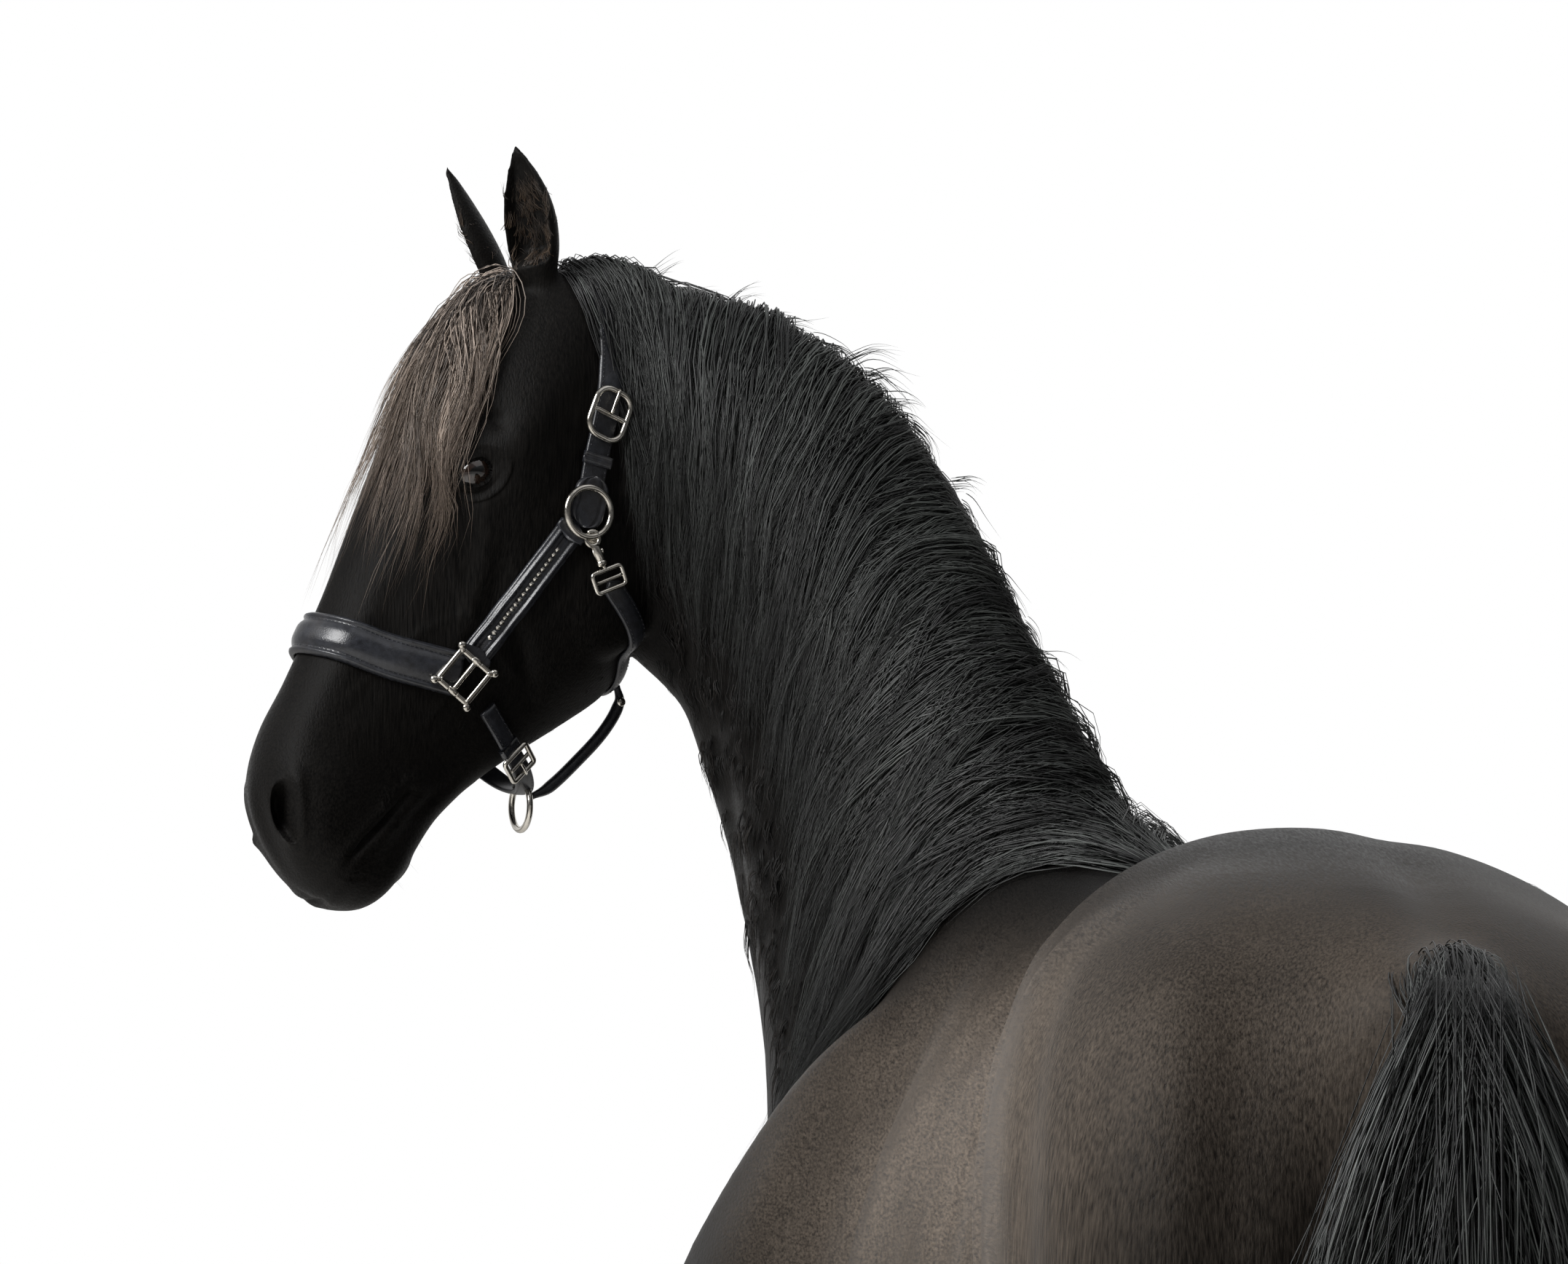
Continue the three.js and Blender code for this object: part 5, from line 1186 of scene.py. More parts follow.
def mane_guides(t, angle, reach, lift, sweep, rise=2.0):
    """From the crest, over to the left: forward and down in arcs at the withers, straight down behind the ears."""
    count = len(t)
    t = np.clip(t, 0.05, 7.9)
    starts = neck_surface(t, angle)
    phase = rng.random((count, 2)) * 6.28
    ahead = unit(neck_surface(np.clip(t + 0.1, 0, 8), angle) - neck_surface(np.clip(t - 0.1, 0, 8), angle))
    down = unit(neck_surface(t, angle - 6) - starts)

    def pull(g, k, place, normal):
        drift = sweep[g] * max(0.12, 1 - k / 20)
        drift += 0.13 * math.sin(k * 0.42 + phase[g, 0])
        drift += 0.05 * math.sin(k * 1.1 + phase[g, 1])
        return np.array([0, 0, -1.0]) + ahead[g] * drift + down[g] * 1.8 * max(0, 1 - k / 5)

    return combed(starts, pull, reach, 24, lift, rise=rise)


hair_parts = {}  # name: object, material slot


def lock_tones(locks, per):
    """A tone for each strand, mostly shared by the strands of a lock."""
    return 0.6 * np.repeat(rng.random(locks), per) + 0.4 * rng.random(locks * per)


def grow(name, paths, outs, width, slot_name="hair", thin_round=None, floor=None):
    """Strands round the guides as one piece, thinned round a spot or kept above the floor where asked."""
    shape = next(shape for start, shape in HAIR_SHAPES.items() if name.startswith(start))
    p, o = strands(eased(paths.swapaxes(0, 1), 2).swapaxes(0, 1), outs, *shape)
    tones = lock_tones(len(paths), shape[0])
    width = width * (0.65 + 0.7 * rng.random(len(p)))
    if thin_round:
        spot, radius, share = thin_round
        keep = (np.linalg.norm(p - spot, axis=2).min(1) > radius) | (rng.random(len(p)) < share)
        p, o, tones, width = p[keep], o[keep], tones[keep], width[keep]
    if floor:
        p[..., 2] = np.maximum(p[..., 2], floor)
    hair_parts[name] = (hair_mesh(name, p, o, width, tones), slot_name)


MANE_LAYERS = [
    # name, locks, place round the crest, length, lift, width of a strand
    ("mane_a", 140, 82, 410, 6, 1.8),
    ("mane_b", 140, 89, 440, 11, 1.6),
    ("mane_c", 130, 95, 450, 16, 1.5),
    ("mane_d", 90, 99, 430, 20, 1.3),
]
for name, count, angle, length, lift, width in MANE_LAYERS:
    t = np.linspace(0.12, 7.66, count) + rng.normal(0, 0.06, count)
    sweep = 1.15 - 1.15 * smoothstep(t, 2.4, 7.0) - 0.42 * smoothstep(t, 6.8, 7.6) + rng.normal(0, 0.07, count)
    # longer at the withers, shorter and flatter behind the ears
    reach = length * (0.66 + 0.42 * rng.random(count)) * (0.84 + 0.4 * (1 - smoothstep(t, 0.6, 3)))
    reach = reach * (1 - 0.14 * smoothstep(t, 6, 7.5))
    angles = angle + 9 * (1 - smoothstep(t, 1.5, 4.5)) + rng.normal(0, 2.5, count)
    lifts = lift * (0.7 + 0.6 * rng.random(count)) * (1 - 0.6 * smoothstep(t, 5.2, 7.0))
    paths, outs = mane_guides(t, angles, reach, lifts, sweep)
    grow(name, paths, outs, width)

# wisps that stand off the crest, the first two of them curls near the withers
CREST = 90.0
t = np.array([1.25, 1.3, 2.7, 3.0, 3.6, 3.75, 4.3, 4.5, 5.0, 5.3, 5.6, 6.1, 6.6, 7.0, 0.7, 2.1])
t = np.concatenate([t, rng.uniform(0.4, 7.3, 5)])
count = len(t)
steps = 14
starts = neck_surface(t, np.full(count, 93.0) + rng.normal(0, 5, count))
crest = np.full(count, CREST)
up = unit(neck_surface(t, crest, 30) - neck_surface(t, crest))
back = unit(neck_surface(np.clip(t - 0.2, 0, 8), crest) - neck_surface(np.clip(t + 0.2, 0, 8), crest))
share = np.linspace(0, 1, steps + 1)[None]
is_curl = np.arange(count) < 2
size = rng.uniform(42, 74, count) + np.where(is_curl, 45, 0)
curl = np.where(is_curl, 5.0, rng.uniform(0.6, 1.5, count))
lean = np.where(is_curl, 0.2, rng.uniform(0.5, 1.1, count))
turn = share * curl[:, None] + lean[:, None]
reach_up = np.cumsum(np.cos(turn), 1) * size[:, None] / steps
reach_back = np.cumsum(np.sin(turn), 1) * size[:, None] / steps
paths = starts[:, None] + up[:, None] * (reach_up - 8)[..., None] + back[:, None] * reach_back[..., None]
outs = np.repeat(np.cross(up, back)[:, None], steps + 1, 1)
grow("mane_wisps", paths, outs, 0.75)


def forelock_guides(count, lean=None):
    """From between the ears down the forehead, leaning to the left; a lean of its own sends a lock aside."""
    l = rng.uniform(-12, 25, count)
    u = rng.uniform(-6, 38, count) + np.abs(l) * 0.9
    starts = head_point(u, read_rows(np.array(HEAD_ROWS)[:, :2], u)[:, 0] + 6, l)
    lean = l / 20 * 0.42 + rng.normal(0, 0.12, count) + 0.24 if lean is None else lean
    phase = rng.random(count) * 6.28

    def pull(g, k, place, normal):
        aside = lean[g] * max(0, 1 - k / 26) + 0.14 * math.sin(k * 0.42 + phase[g])
        return HEAD_AXES[0] + HEAD_AXES[2] * aside

    return combed(starts, pull, rng.uniform(170, 345, count), 22, 2 + 11 * rng.random(count), rise=4)


before_eye = EYE_CENTRE[1] + head_vector(0, 0, 22)
paths, outs = forelock_guides(20, rng.uniform(0.5, 0.95, 20))
grow("forelock_side", paths, outs, 1.0, thin_round=(before_eye, 24, 0.6))
paths, outs = forelock_guides(112)
grow("forelock", paths, outs, 1.25, thin_round=(before_eye, 31, 0.03))


# ---- short coat: tufts over the skin
def flow_at(place, normal):
    """The way the short coat lies: back along the trunk, down the neck, legs and quarters, down the face."""
    x, y, z = place
    if z > 1700 and head_local(place)[0] > -20 and x > 560:
        return HEAD_AXES[0] + HEAD_AXES[1] * -0.25
    back = smoothstep(z, 900, 1250) * (1 - smoothstep(-y, 1150, 1420)) * smoothstep(-y, 330, 620)
    return np.array([-0.25 * back, 1.0 * back, -0.35 - 0.65 * (1 - back)])


def tufts(name, spots, length, width, lift, pull=flow_at, steps=5):
    """Small overlapping tufts that lie along the skin from each spot."""
    phase = rng.random(len(spots)) * 6.28
    length = length * (0.7 + 0.6 * rng.random(len(spots)))

    def way(g, k, place, normal):
        base = unit(pull(place, normal))
        return base + np.cross(normal, base) * 0.35 * math.sin(phase[g] + k * 0.9)

    paths, outs = combed(spots, way, length, steps, lift * (0.6 + 0.8 * rng.random(len(spots))))
    grow(name, paths, outs, width, "coat")


def scattered(count, keep_at):
    """Even random spots over the skin, kept where a rule says so."""
    a, b, c = skin_co[skin_tris[:, 0]], skin_co[skin_tris[:, 1]], skin_co[skin_tris[:, 2]]
    area = np.linalg.norm(np.cross(b - a, c - a), axis=1)
    area = area * keep_at((a + b + c) / 3, unit(np.cross(b - a, c - a)))
    face = rng.choice(len(area), count, p=area / area.sum())
    x, y = rng.random((2, count))
    flip = x + y > 1
    x, y = np.where(flip, 1 - x, x), np.where(flip, 1 - y, y)
    return a[face] + (b - a)[face] * x[:, None] + (c - a)[face] * y[:, None]


def off_head(p):
    return ~((head_local(p)[:, 0] > -60) & (p[:, 0] > 520) & (p[:, 2] > 1450))


def on_body(p, out):
    """Mostly under the belly and down the buttocks, where the coat is longest, and thinly everywhere else."""
    return off_head(p) * (0.07 + (out[:, 2] < -0.2) + (out[:, 1] > 0.8) * 0.3)


def on_cheeks(p, out):
    return ~off_head(p) * (head_local(p)[:, 0] < 400) * (head_local(p)[:, 1] < -60)


tufts("body_coat", scattered(1500, on_body), 26, 0.45, 0.2)
tufts("face_coat", scattered(600, on_cheeks), 11, 0.5, 0.2)


def curls_over(p, out):
    """The wavy coat on the lower left of the neck, thinning to its edges."""
    facing = np.clip((out @ unit([0.5, 0.85, 0]) - 0.62) / 0.2, 0, 1)
    return smoothstep(p[:, 2], 1300, 1480) * (p[:, 2] < 1960) * (p[:, 1] < -1300) * off_head(p) * facing


tufts("neck_curls", scattered(500, curls_over), 54, 1.1, 3.0, steps=10)


def up_the_ear(place, normal):
    side = 1 if head_local(place)[2] > 0 else -1
    return ear_frame(side)[1] + ear_frame(side)[2] * rng.normal(0, 0.25)


def in_the_ear(p, out):
    inside = np.zeros(len(p))
    for side in (1, -1):
        base, axis, wide, forward = ear_frame(side)
        rel = p - base
        at = rel @ axis
        close = np.linalg.norm(rel - at[:, None] * axis, axis=1) < 34
        inside += (at > 2) * (at < 72) * close * (out @ forward > 0.35)
    return inside


tufts("ear_fuzz", scattered(170, in_the_ear), 22, 0.6, 2.0, pull=up_the_ear, steps=6)

# stiff hairs under the chin, each from below the skin outwards
CHIN_HAIRS = 26
chin_spots = head_point(
    rng.uniform(500, 570, CHIN_HAIRS), rng.uniform(-134, -118, CHIN_HAIRS), rng.uniform(-30, 30, CHIN_HAIRS)
)
out_by = np.linspace(-4, 1, 6)[None] * rng.uniform(4, 10, CHIN_HAIRS)[:, None]
chin_paths = chin_spots[:, None] + head_vector(0.35, -1, 0) * out_by[..., None]
grow("chin_hairs", chin_paths, np.tile(HEAD_AXES[0], (CHIN_HAIRS, 6, 1)), 0.5, "coat")


def tail_guides(count):
    """Round the dock and down its length, spreading to a full skirt and ending at many heights."""
    ring = (np.arange(count) * 0.618 % 1) * 2 * np.pi
    order = np.arange(count) / count
    root_z = 1488 - 330 * order**1.3
    sx, sy = np.cos(ring), np.sin(ring)
    tip_z = 60 + 520 * rng.random(count) ** 1.7 + 200 * (order < 0.15)
    spread = 0.55 + 0.85 * rng.random(count) ** 0.6
    steps = 16
    share = np.linspace(0, 1, steps + 1)[None]
    z = root_z[:, None] + (tip_z - root_z)[:, None] * share
    belly = np.sin(np.pi * np.minimum(0.12 + 0.62 * ((1480 - z) / 1400), 1))
    grown = smoothstep(share, 0, 0.16)
    x = sx[:, None] * (14 * (1 - grown) + grown * (26 + 104 * belly) * spread[:, None] * (1 - 0.35 * share**3))
    back = np.where(z > 1380, 40 + (1480 - z) * 0.38, 80)
    deep_out, deep_in = 12 * (1 - grown) + grown * (22 + 32 * belly), 12 * (1 - grown) + grown * (14 + 24 * belly)
    y = back + 8 * share + np.where(sy[:, None] > 0, sy[:, None] * deep_out, sy[:, None] * deep_in) * spread[:, None]
    phase = rng.random((count, 2)) * 6.28
    x = x + 7 * np.sin(share * 9 + phase[:, :1]) * grown
    y = y + 4 * np.sin(share * 8 + phase[:, 1:]) * grown
    paths = np.stack([x, y, z], -1)
    outs = np.repeat(np.stack([sx, sy, 0.05 + 0 * sx], -1)[:, None], steps + 1, 1)
    return paths, unit(outs)


for which in ("tail_a", "tail_b"):
    paths, outs = tail_guides(150)
    grow(which, paths, outs, 1.35)

# short lit hair over the top of the dock
count = 60
ring = rng.uniform(-1.2, 1.2, count)
down = np.linspace(0, 1, count)
rows = np.stack([0 * down, -70 + 110 * down, 1500 - 40 * down**2], 1)
starts = rows + np.stack([np.sin(ring) * (20 + 14 * down), 0 * ring, np.cos(ring) * 18 - 14], 1)


def over_dock(g, k, place, normal):
    return np.array([math.sin(ring[g]) * (0.2 + 0.5 * down[g]), 1.0 - 0.06 * k, -0.35 - 0.13 * k])


paths, outs = combed(starts, over_dock, rng.uniform(150, 240, count), 12, 2 + 7 * rng.random(count))
grow("tail_top", paths, outs, 1.0)


def feather_guides(line, side, heel, rows, count):
    """From the back and sides of the cannon and pastern, down and out over the hoof."""
    degrees = rng.uniform(-150, 150, count) * (0.4 + 0.6 * rng.random(count))
    a = np.radians(degrees)
    across, back = np.sin(a), np.cos(a)
    root_z = 385 - 150 * (np.abs(degrees) / 150) ** 0.7 - 120 * rng.random(count)
    tip_z = np.clip(root_z - rng.uniform(150, 290, count), 8, 200)
    steps = 10
    share = np.linspace(0, 1, steps + 1)[None]
    z = root_z[:, None] + (tip_z - root_z)[:, None] * share
    sizes = read_rows(rows, np.maximum(z, rows[-1][0]).ravel()).reshape(count, steps + 1, 5)
    rear, front, inner, outer, _ = np.moveaxis(sizes, -1, 0)
    low = smoothstep(z, 20, 170)
    middle = low * (rear + front) / 2 + (1 - low) * (heel + 56)
    half_f, half_l = low * (front - rear) / 2 + (1 - low) * 76, low * (outer - inner) / 2 + (1 - low) * 66
    away = -5 + (42 * rng.random(count) + 6)[:, None] * np.sin(share * 1.9)
    l = low * (inner + outer) / 2 + (1 - low) * LEG_CENTRE + across[:, None] * (half_l + away)
    paths = leg_point(line, side, middle - back[:, None] * (half_f + away), l, z)
    forward, left = leg_axes(line)
    outs = left[None] * side * across[:, None] - forward[None] * back[:, None]
    return paths, np.repeat(outs[:, None], steps + 1, 1)


for name, side in SIDES.items():
    for rows, line, which in ((FORE_ROWS, FORE_LINE, "fore"), (HIND_ROWS, HIND_LINE, "hind")):
        paths, outs = feather_guides(line, side, HOOF_HEEL[which], rows, 110)
        grow(f"feather_{which}_{name}", paths, outs, 1.8, floor=1.5)

# ---- eyes and hooves
pieces = {}  # name: object, material slot, nodes that it stands for


def keep(name, bm, slot_name, *nodes):
    """Finishes a piece: smooth, in the model's frame, and noted with its slot and the nodes it stands for."""
    obj = new_object(name, bm)
    obj.data.shade_smooth()
    set_coords(obj.data, to_model(coords(obj.data)))
    pieces[name] = (obj, slot_name, nodes)
    return obj


for name, side in SIDES.items():
    bm = bmesh.new()
    bmesh.ops.create_uvsphere(bm, u_segments=72, v_segments=48, radius=EYE_RADIUS)
    axes = np.stack(eye_axes(side))
    local = np.array([v.co for v in bm.verts])
    from_middle = np.linalg.norm(local[:, :2], axis=1)
    local[:, 2] += np.where(local[:, 2] > 0, 1.9 * np.exp(-((from_middle / 11.5) ** 2)), 0)  # the cornea stands out
    for v, place in zip(bm.verts, local):
        v.co = Vector(place @ axes + EYE_CENTRE[side])
    obj = keep(f"eye_{name}", bm, "eye", f"eye_{name}")
    gaze = obj.data.attributes.new("gaze", "FLOAT_VECTOR", "POINT")
    gaze.data.foreach_set("vector", (local / EYE_RADIUS).astype(np.float32).ravel())

for name, side in SIDES.items():
    for which, line in (("fore", FORE_LINE), ("hind", HIND_LINE)):
        levels = np.concatenate([[0, 0.008, 0.025], np.linspace(0.05, 0.86, 56), [0.89, 0.915, 0.94, 0.965, 1.0]])
        ripple = 0.34 * np.sin(levels * 60 + 1.5 * np.sin(levels * 11)) * smoothstep(levels, 0.03, 0.12)
        band = 1.3 * np.exp(-(((levels - 0.94) / 0.035) ** 2))
        grown = ripple + band - 1.2 * (levels == 0)
        rings = [hoof_rings(line, side, HOOF_HEEL[which], [k], g, 64)[0] for k, g in zip(levels, grown)]
        sole = rings[0].mean(0)
        rings = [sole + (rings[0] - sole) * 0.82 + [0, 0, 4.5], sole + (rings[0] - sole) * 0.93 + [0, 0, 0.2], *rings]
        bm = bmesh.new()
        lofted(bm, rings)
        keep(f"hoof_{which}_{name}", bm, "horn", f"hoof_{which}_{name}")


# ---- the halter
def hug(u, degrees):
    """The skin's place and normal beyond a point inside the head, at u and an angle: 0 brow, 90 left, 180 jaw."""
    a = math.radians(degrees)
    centre = head_point(u, -85, 0)
    out = math.cos(a) * HEAD_AXES[1] + math.sin(a) * HEAD_AXES[2]
    place, normal, *_ = skin_tree.ray_cast(Vector(centre), Vector(out))
    return np.array(place), unit(np.array(normal) * np.sign(np.dot(np.array(normal), out)))


def strap_outline(width, thick, roll=0.0, roll_width=10.0, piping=0.0, across=31):
    """A strap's section: flat below, rounded edges, and where wanted a padded roll and piping along the edges."""
    v = -np.cos(np.linspace(0, math.pi, across)) * width / 2
    edge = np.sqrt(np.clip(1 - (np.clip(np.abs(v) - (width / 2 - 2.0), 0, 2.0) / 2.0) ** 2, 0, 1))
    h = thick * (0.25 + 0.75 * edge)
    h += roll * np.exp(-((np.abs(v) / roll_width) ** 4))
    h += piping * np.exp(-(((np.abs(v) - (width / 2 - 3.4)) / 1.7) ** 2))
    h -= 0.5 * np.exp(-(((np.abs(v) - (width / 2 - 6.6)) / 0.9) ** 2)) * (piping > 0)
    below = np.linspace(width / 2 - 0.6, -(width / 2 - 0.6), 9)
    return np.concatenate([np.stack([v, h], 1), np.stack([below, 0 * below], 1)])


def swept(bm, places, outs, outline, heights=None, round_ends=0.0):
    """A strap's section carried along its middle line, resting on the heights under it."""
    run = unit(np.gradient(places, axis=0))
    side = unit(np.cross(run, outs))
    along = length_along(places)
    shrink = np.ones(len(along))
    if round_ends:
        left = np.minimum(along, along[-1] - along)
        shrink = np.sqrt(np.clip(1 - (1 - np.clip(left / round_ends, 0, 1)) ** 2, 0.02, 1))
    v, h = outline.T
    across = v[None] * shrink[:, None]
    base = 0 if heights is None else heights(across)
    rings = places[:, None] + side[:, None] * across[..., None] + outs[:, None] * (base + h[None])[..., None]
    lofted(bm, rings)


DEGREE = 1.6  # mm round the head for one degree


def hugging(path, width, step=3.5, lift=0.9):
    """A line over the skin from rows of u and angle, its normals, and how high the skin stands beside it."""
    rows = resampled(np.array(path, float) * [1, DEGREE], step) / [1, DEGREE]
    hits = [hug(u, a) for u, a in rows]
    places, outs = eased(np.array([h[0] for h in hits]), 6), unit(eased(np.array([h[1] for h in hits]), 14))
    run = unit(np.gradient(places, axis=0))
    outs = unit(outs - run * (outs * run).sum(1)[:, None])
    side = unit(np.cross(run, outs))
    columns = np.linspace(-width / 2, width / 2, 9)
    rise = np.zeros((len(places), 9))
    for i in range(len(places)):
        for j, v in enumerate(columns):
            start = places[i] + side[i] * v
            hit = skin_tree.ray_cast(Vector(start + outs[i] * 30), Vector(-outs[i]), 60)[0]
            rise[i, j] = np.clip((np.array(hit) - start) @ outs[i], -7, 7) if hit is not None else 0
    for _ in range(3):
        rise = np.maximum(rise, eased(rise, 1))
        rise[:, 1:-1] = np.maximum(rise[:, 1:-1], (rise[:, :-2] + rise[:, 2:]) / 2)
    rise = eased(rise, 3) + lift

    def heights(across):
        x = np.clip((across + width / 2) / width * 8, 0, 7.999)
        i = x.astype(int)
        return np.take_along_axis(rise, i, 1) * (1 - (x - i)) + np.take_along_axis(rise, i + 1, 1) * (x - i)

    return places, outs, side, heights


def copies(bm, places, axes, radii, detail=1):
    """Small rounded bodies, one at each place, drawn out along its own axes."""
    for place, axis, size in zip(places, axes, np.broadcast_to(radii, (len(places), 3))):
        made = bmesh.ops.create_icosphere(bm, subdivisions=detail, radius=1)["verts"]
        for v in made:
            v.co = Vector(place + np.array(v.co) * size @ axis)


def stitches(bm, line, offsets, height, every=4.2):
    """Two rows of stitches along a strap."""
    places, outs, side, heights = line
    along = length_along(places)
    at = np.arange(6, along[-1] - 6, every)
    run = unit(np.gradient(places, axis=0))
    for offset in offsets:
        base = heights(np.full((len(places), 1), offset))[:, 0]
        points = places + side * offset + outs * (base + height)[:, None]
        spots = np.stack([np.interp(at, along, points[:, k]) for k in range(3)], 1)
        i = np.clip(np.searchsorted(along, at), 0, len(places) - 1)
        copies(bm, spots, np.stack([run[i], side[i], outs[i]], 1), [1.5, 0.42, 0.4])


def mirrored(path):
    """The left half of a strap, then the same on the right, by way of the brow or the jaw."""
    turn = 360 if path[-1][1] > 90 else 0
    return [*path, *[[u, turn - a] for u, a in path[-2::-1]]]


NOSE_HALF = [[369, 86], [376, 62], [384, 36], [388, 0]]
CROWN_HALF = [[176, 106], [140, 100], [100, 95], [58, 86], [14, 72], [-18, 48], [-34, 24], [-38, 0]]
THROAT_HALF = [[236, 129], [250, 142], [270, 158], [290, 172], [296, 180]]
CHEEK_PATH = [[211, 104], [260, 99], [310, 95], [352, 90]]

bm = bmesh.new()
line = hugging(mirrored(NOSE_HALF), 40)
swept(bm, line[0], line[1], strap_outline(40, 4.6, 4.4, 11.5, 2.4), line[3])
stitches(bm, line, (-13.4, 13.4), 5.0)
keep("noseband", bm, "leather", "noseband")

bm = bmesh.new()
line = hugging(mirrored(CROWN_HALF), 25)
swept(bm, line[0], line[1], strap_outline(25, 4.0, 0.8, 8), line[3])
stitches(bm, line, (-9.6, 9.6), 4.1)
for side in (1, -1):
    # the padded tab that folds round the cheek ring
    tab = hugging([[206, side * 108], [186, side * 106.5], [160, side * 103]], 34, lift=4.4)
    swept(bm, tab[0], tab[1], strap_outline(34, 4.4, 1.2, 11, 1.0), tab[3], round_ends=13)
    stitches(bm, tab, (-12.6, 12.6), 4.4)
    keeper = hugging([[150, side * 101.5], [140, side * 100]], 31, lift=4.6)
    swept(bm, keeper[0], keeper[1], strap_outline(31, 2.4), keeper[3])
keep("crown_strap", bm, "leather", "crown_strap")

bm = bmesh.new()
line = hugging(mirrored(THROAT_HALF), 20)
swept(bm, line[0], line[1], strap_outline(20, 3.8, 1.2, 6), line[3], round_ends=8)
stitches(bm, line, (-7.2, 7.2), 4.0)
keep("throat_strap", bm, "leather", "throat_strap")

for name, side in SIDES.items():
    bm = bmesh.new()
    line = hugging([[u, side * a] for u, a in CHEEK_PATH], 27)
    section = strap_outline(27, 4.0, 0, 8, 0, 45)
    v = section[:45, 0]
    section[:45, 1] += 3.0 * np.exp(-(((np.abs(v) - 8.2) / 2.0) ** 2)) + 1.1 * np.exp(-(((np.abs(v) - 3.4) / 0.9) ** 2))
    swept(bm, line[0], line[1], section, line[3])
    for end, lift in (([[206, 104.6], [222, 103]], 4.4), ([[341, 91.4], [356, 90]], 4.4)):
        keeper = hugging([[u, side * a] for u, a in end], 31, lift=lift)
        swept(bm, keeper[0], keeper[1], strap_outline(31, 3.4), keeper[3], round_ends=5)
    keep(f"cheek_strap_{name}", bm, "leather", f"cheek_strap_{name}")
    # the row of small faceted beads between the pipings
    bm = bmesh.new()
    places, outs, across, heights = line
    along = length_along(places)
    at = np.arange(24, along[-1] - 20, 5.4)
    top = places + outs * (heights(np.zeros((len(places), 1)))[:, 0] + 4.6)[:, None]
    spots = np.stack([np.interp(at, along, top[:, k]) for k in range(3)], 1)
    run = unit(np.gradient(places, axis=0))
    i = np.clip(np.searchsorted(along, at), 0, len(places) - 1)
    copies(bm, spots, np.stack([run[i], across[i], outs[i]], 1), [2.5, 2.5, 1.9])
    keep(f"cheek_beads_{name}", bm, "steel").data.shade_flat()


def fitting(u, degrees, lift, turn):
    """Axes lying on the skin: down the head and turned, across it, and outwards; and their place above it."""
    place, out = hug(u, degrees)
    near = [hug(u + 14, degrees)[0], hug(u - 14, degrees)[0], hug(u, degrees + 9)[0], hug(u, degrees - 9)[0]]
    normal = unit(np.cross(near[0] - near[1], near[2] - near[3]))
    normal *= np.sign(normal @ out)
    x = unit(HEAD_AXES[0] - normal * (HEAD_AXES[0] @ normal))
    a = math.radians(turn)
    x = x * math.cos(a) + np.cross(normal, x) * math.sin(a)
    return place + normal * lift, np.stack([x, np.cross(normal, x), normal])


def wire(bm, points, axes, radius, closed=True, count=14, flat=1.0):
    """A round bar bent along points in its own plane."""
    points = np.asarray(points, float)
    if closed:
        points = np.concatenate([points, points[:1]])
        run = unit(np.roll(points[:-1], -1, 0) - np.roll(points[:-1], 1, 0))
        run = np.concatenate([run, run[:1]])
    else:
        run = unit(np.gradient(points, axis=0))
    up = np.broadcast_to(axes[2], points.shape)
    side = unit(np.cross(run, up))
    up = np.cross(side, run)
    a = np.arange(count) / count * 2 * math.pi
    r = np.broadcast_to(np.asarray(radius, float), (len(points),))[:, None, None]
    rings = points[:, None] + side[:, None] * np.cos(a)[None, :, None] * r
    rings = rings + up[:, None] * np.sin(a)[None, :, None] * r * flat
    lofted(bm, rings, closed_ends=not closed)


def circle_points(radius, count=56):
    a = np.arange(count) / count * 2 * math.pi
    return np.stack([np.cos(a) * radius, np.sin(a) * radius, 0 * a], 1)


def rounded_frame(wide, high, corner, per=7):
    points = []
    for sx, sy, start in ((1, 1, 0), (-1, 1, 90), (-1, -1, 180), (1, -1, 270)):
        for k in range(per):
            a = math.radians(start + 90 * k / (per - 1))
            points.append([sx * (wide - corner) + math.cos(a) * corner, sy * (high - corner) + math.sin(a) * corner, 0])
    return np.array(points)


def placed(local, at):
    return at[0] + np.asarray(local, float) @ at[1]


def bar(bm, start, end, at, radius, bulge=0.0):
    share = np.linspace(0, 1, 9)
    points = np.array(start) + (np.array(end, float) - start) * share[:, None]
    wire(bm, placed(points, at), at[1], radius * (1 + bulge * np.sin(np.pi * share)), closed=False)


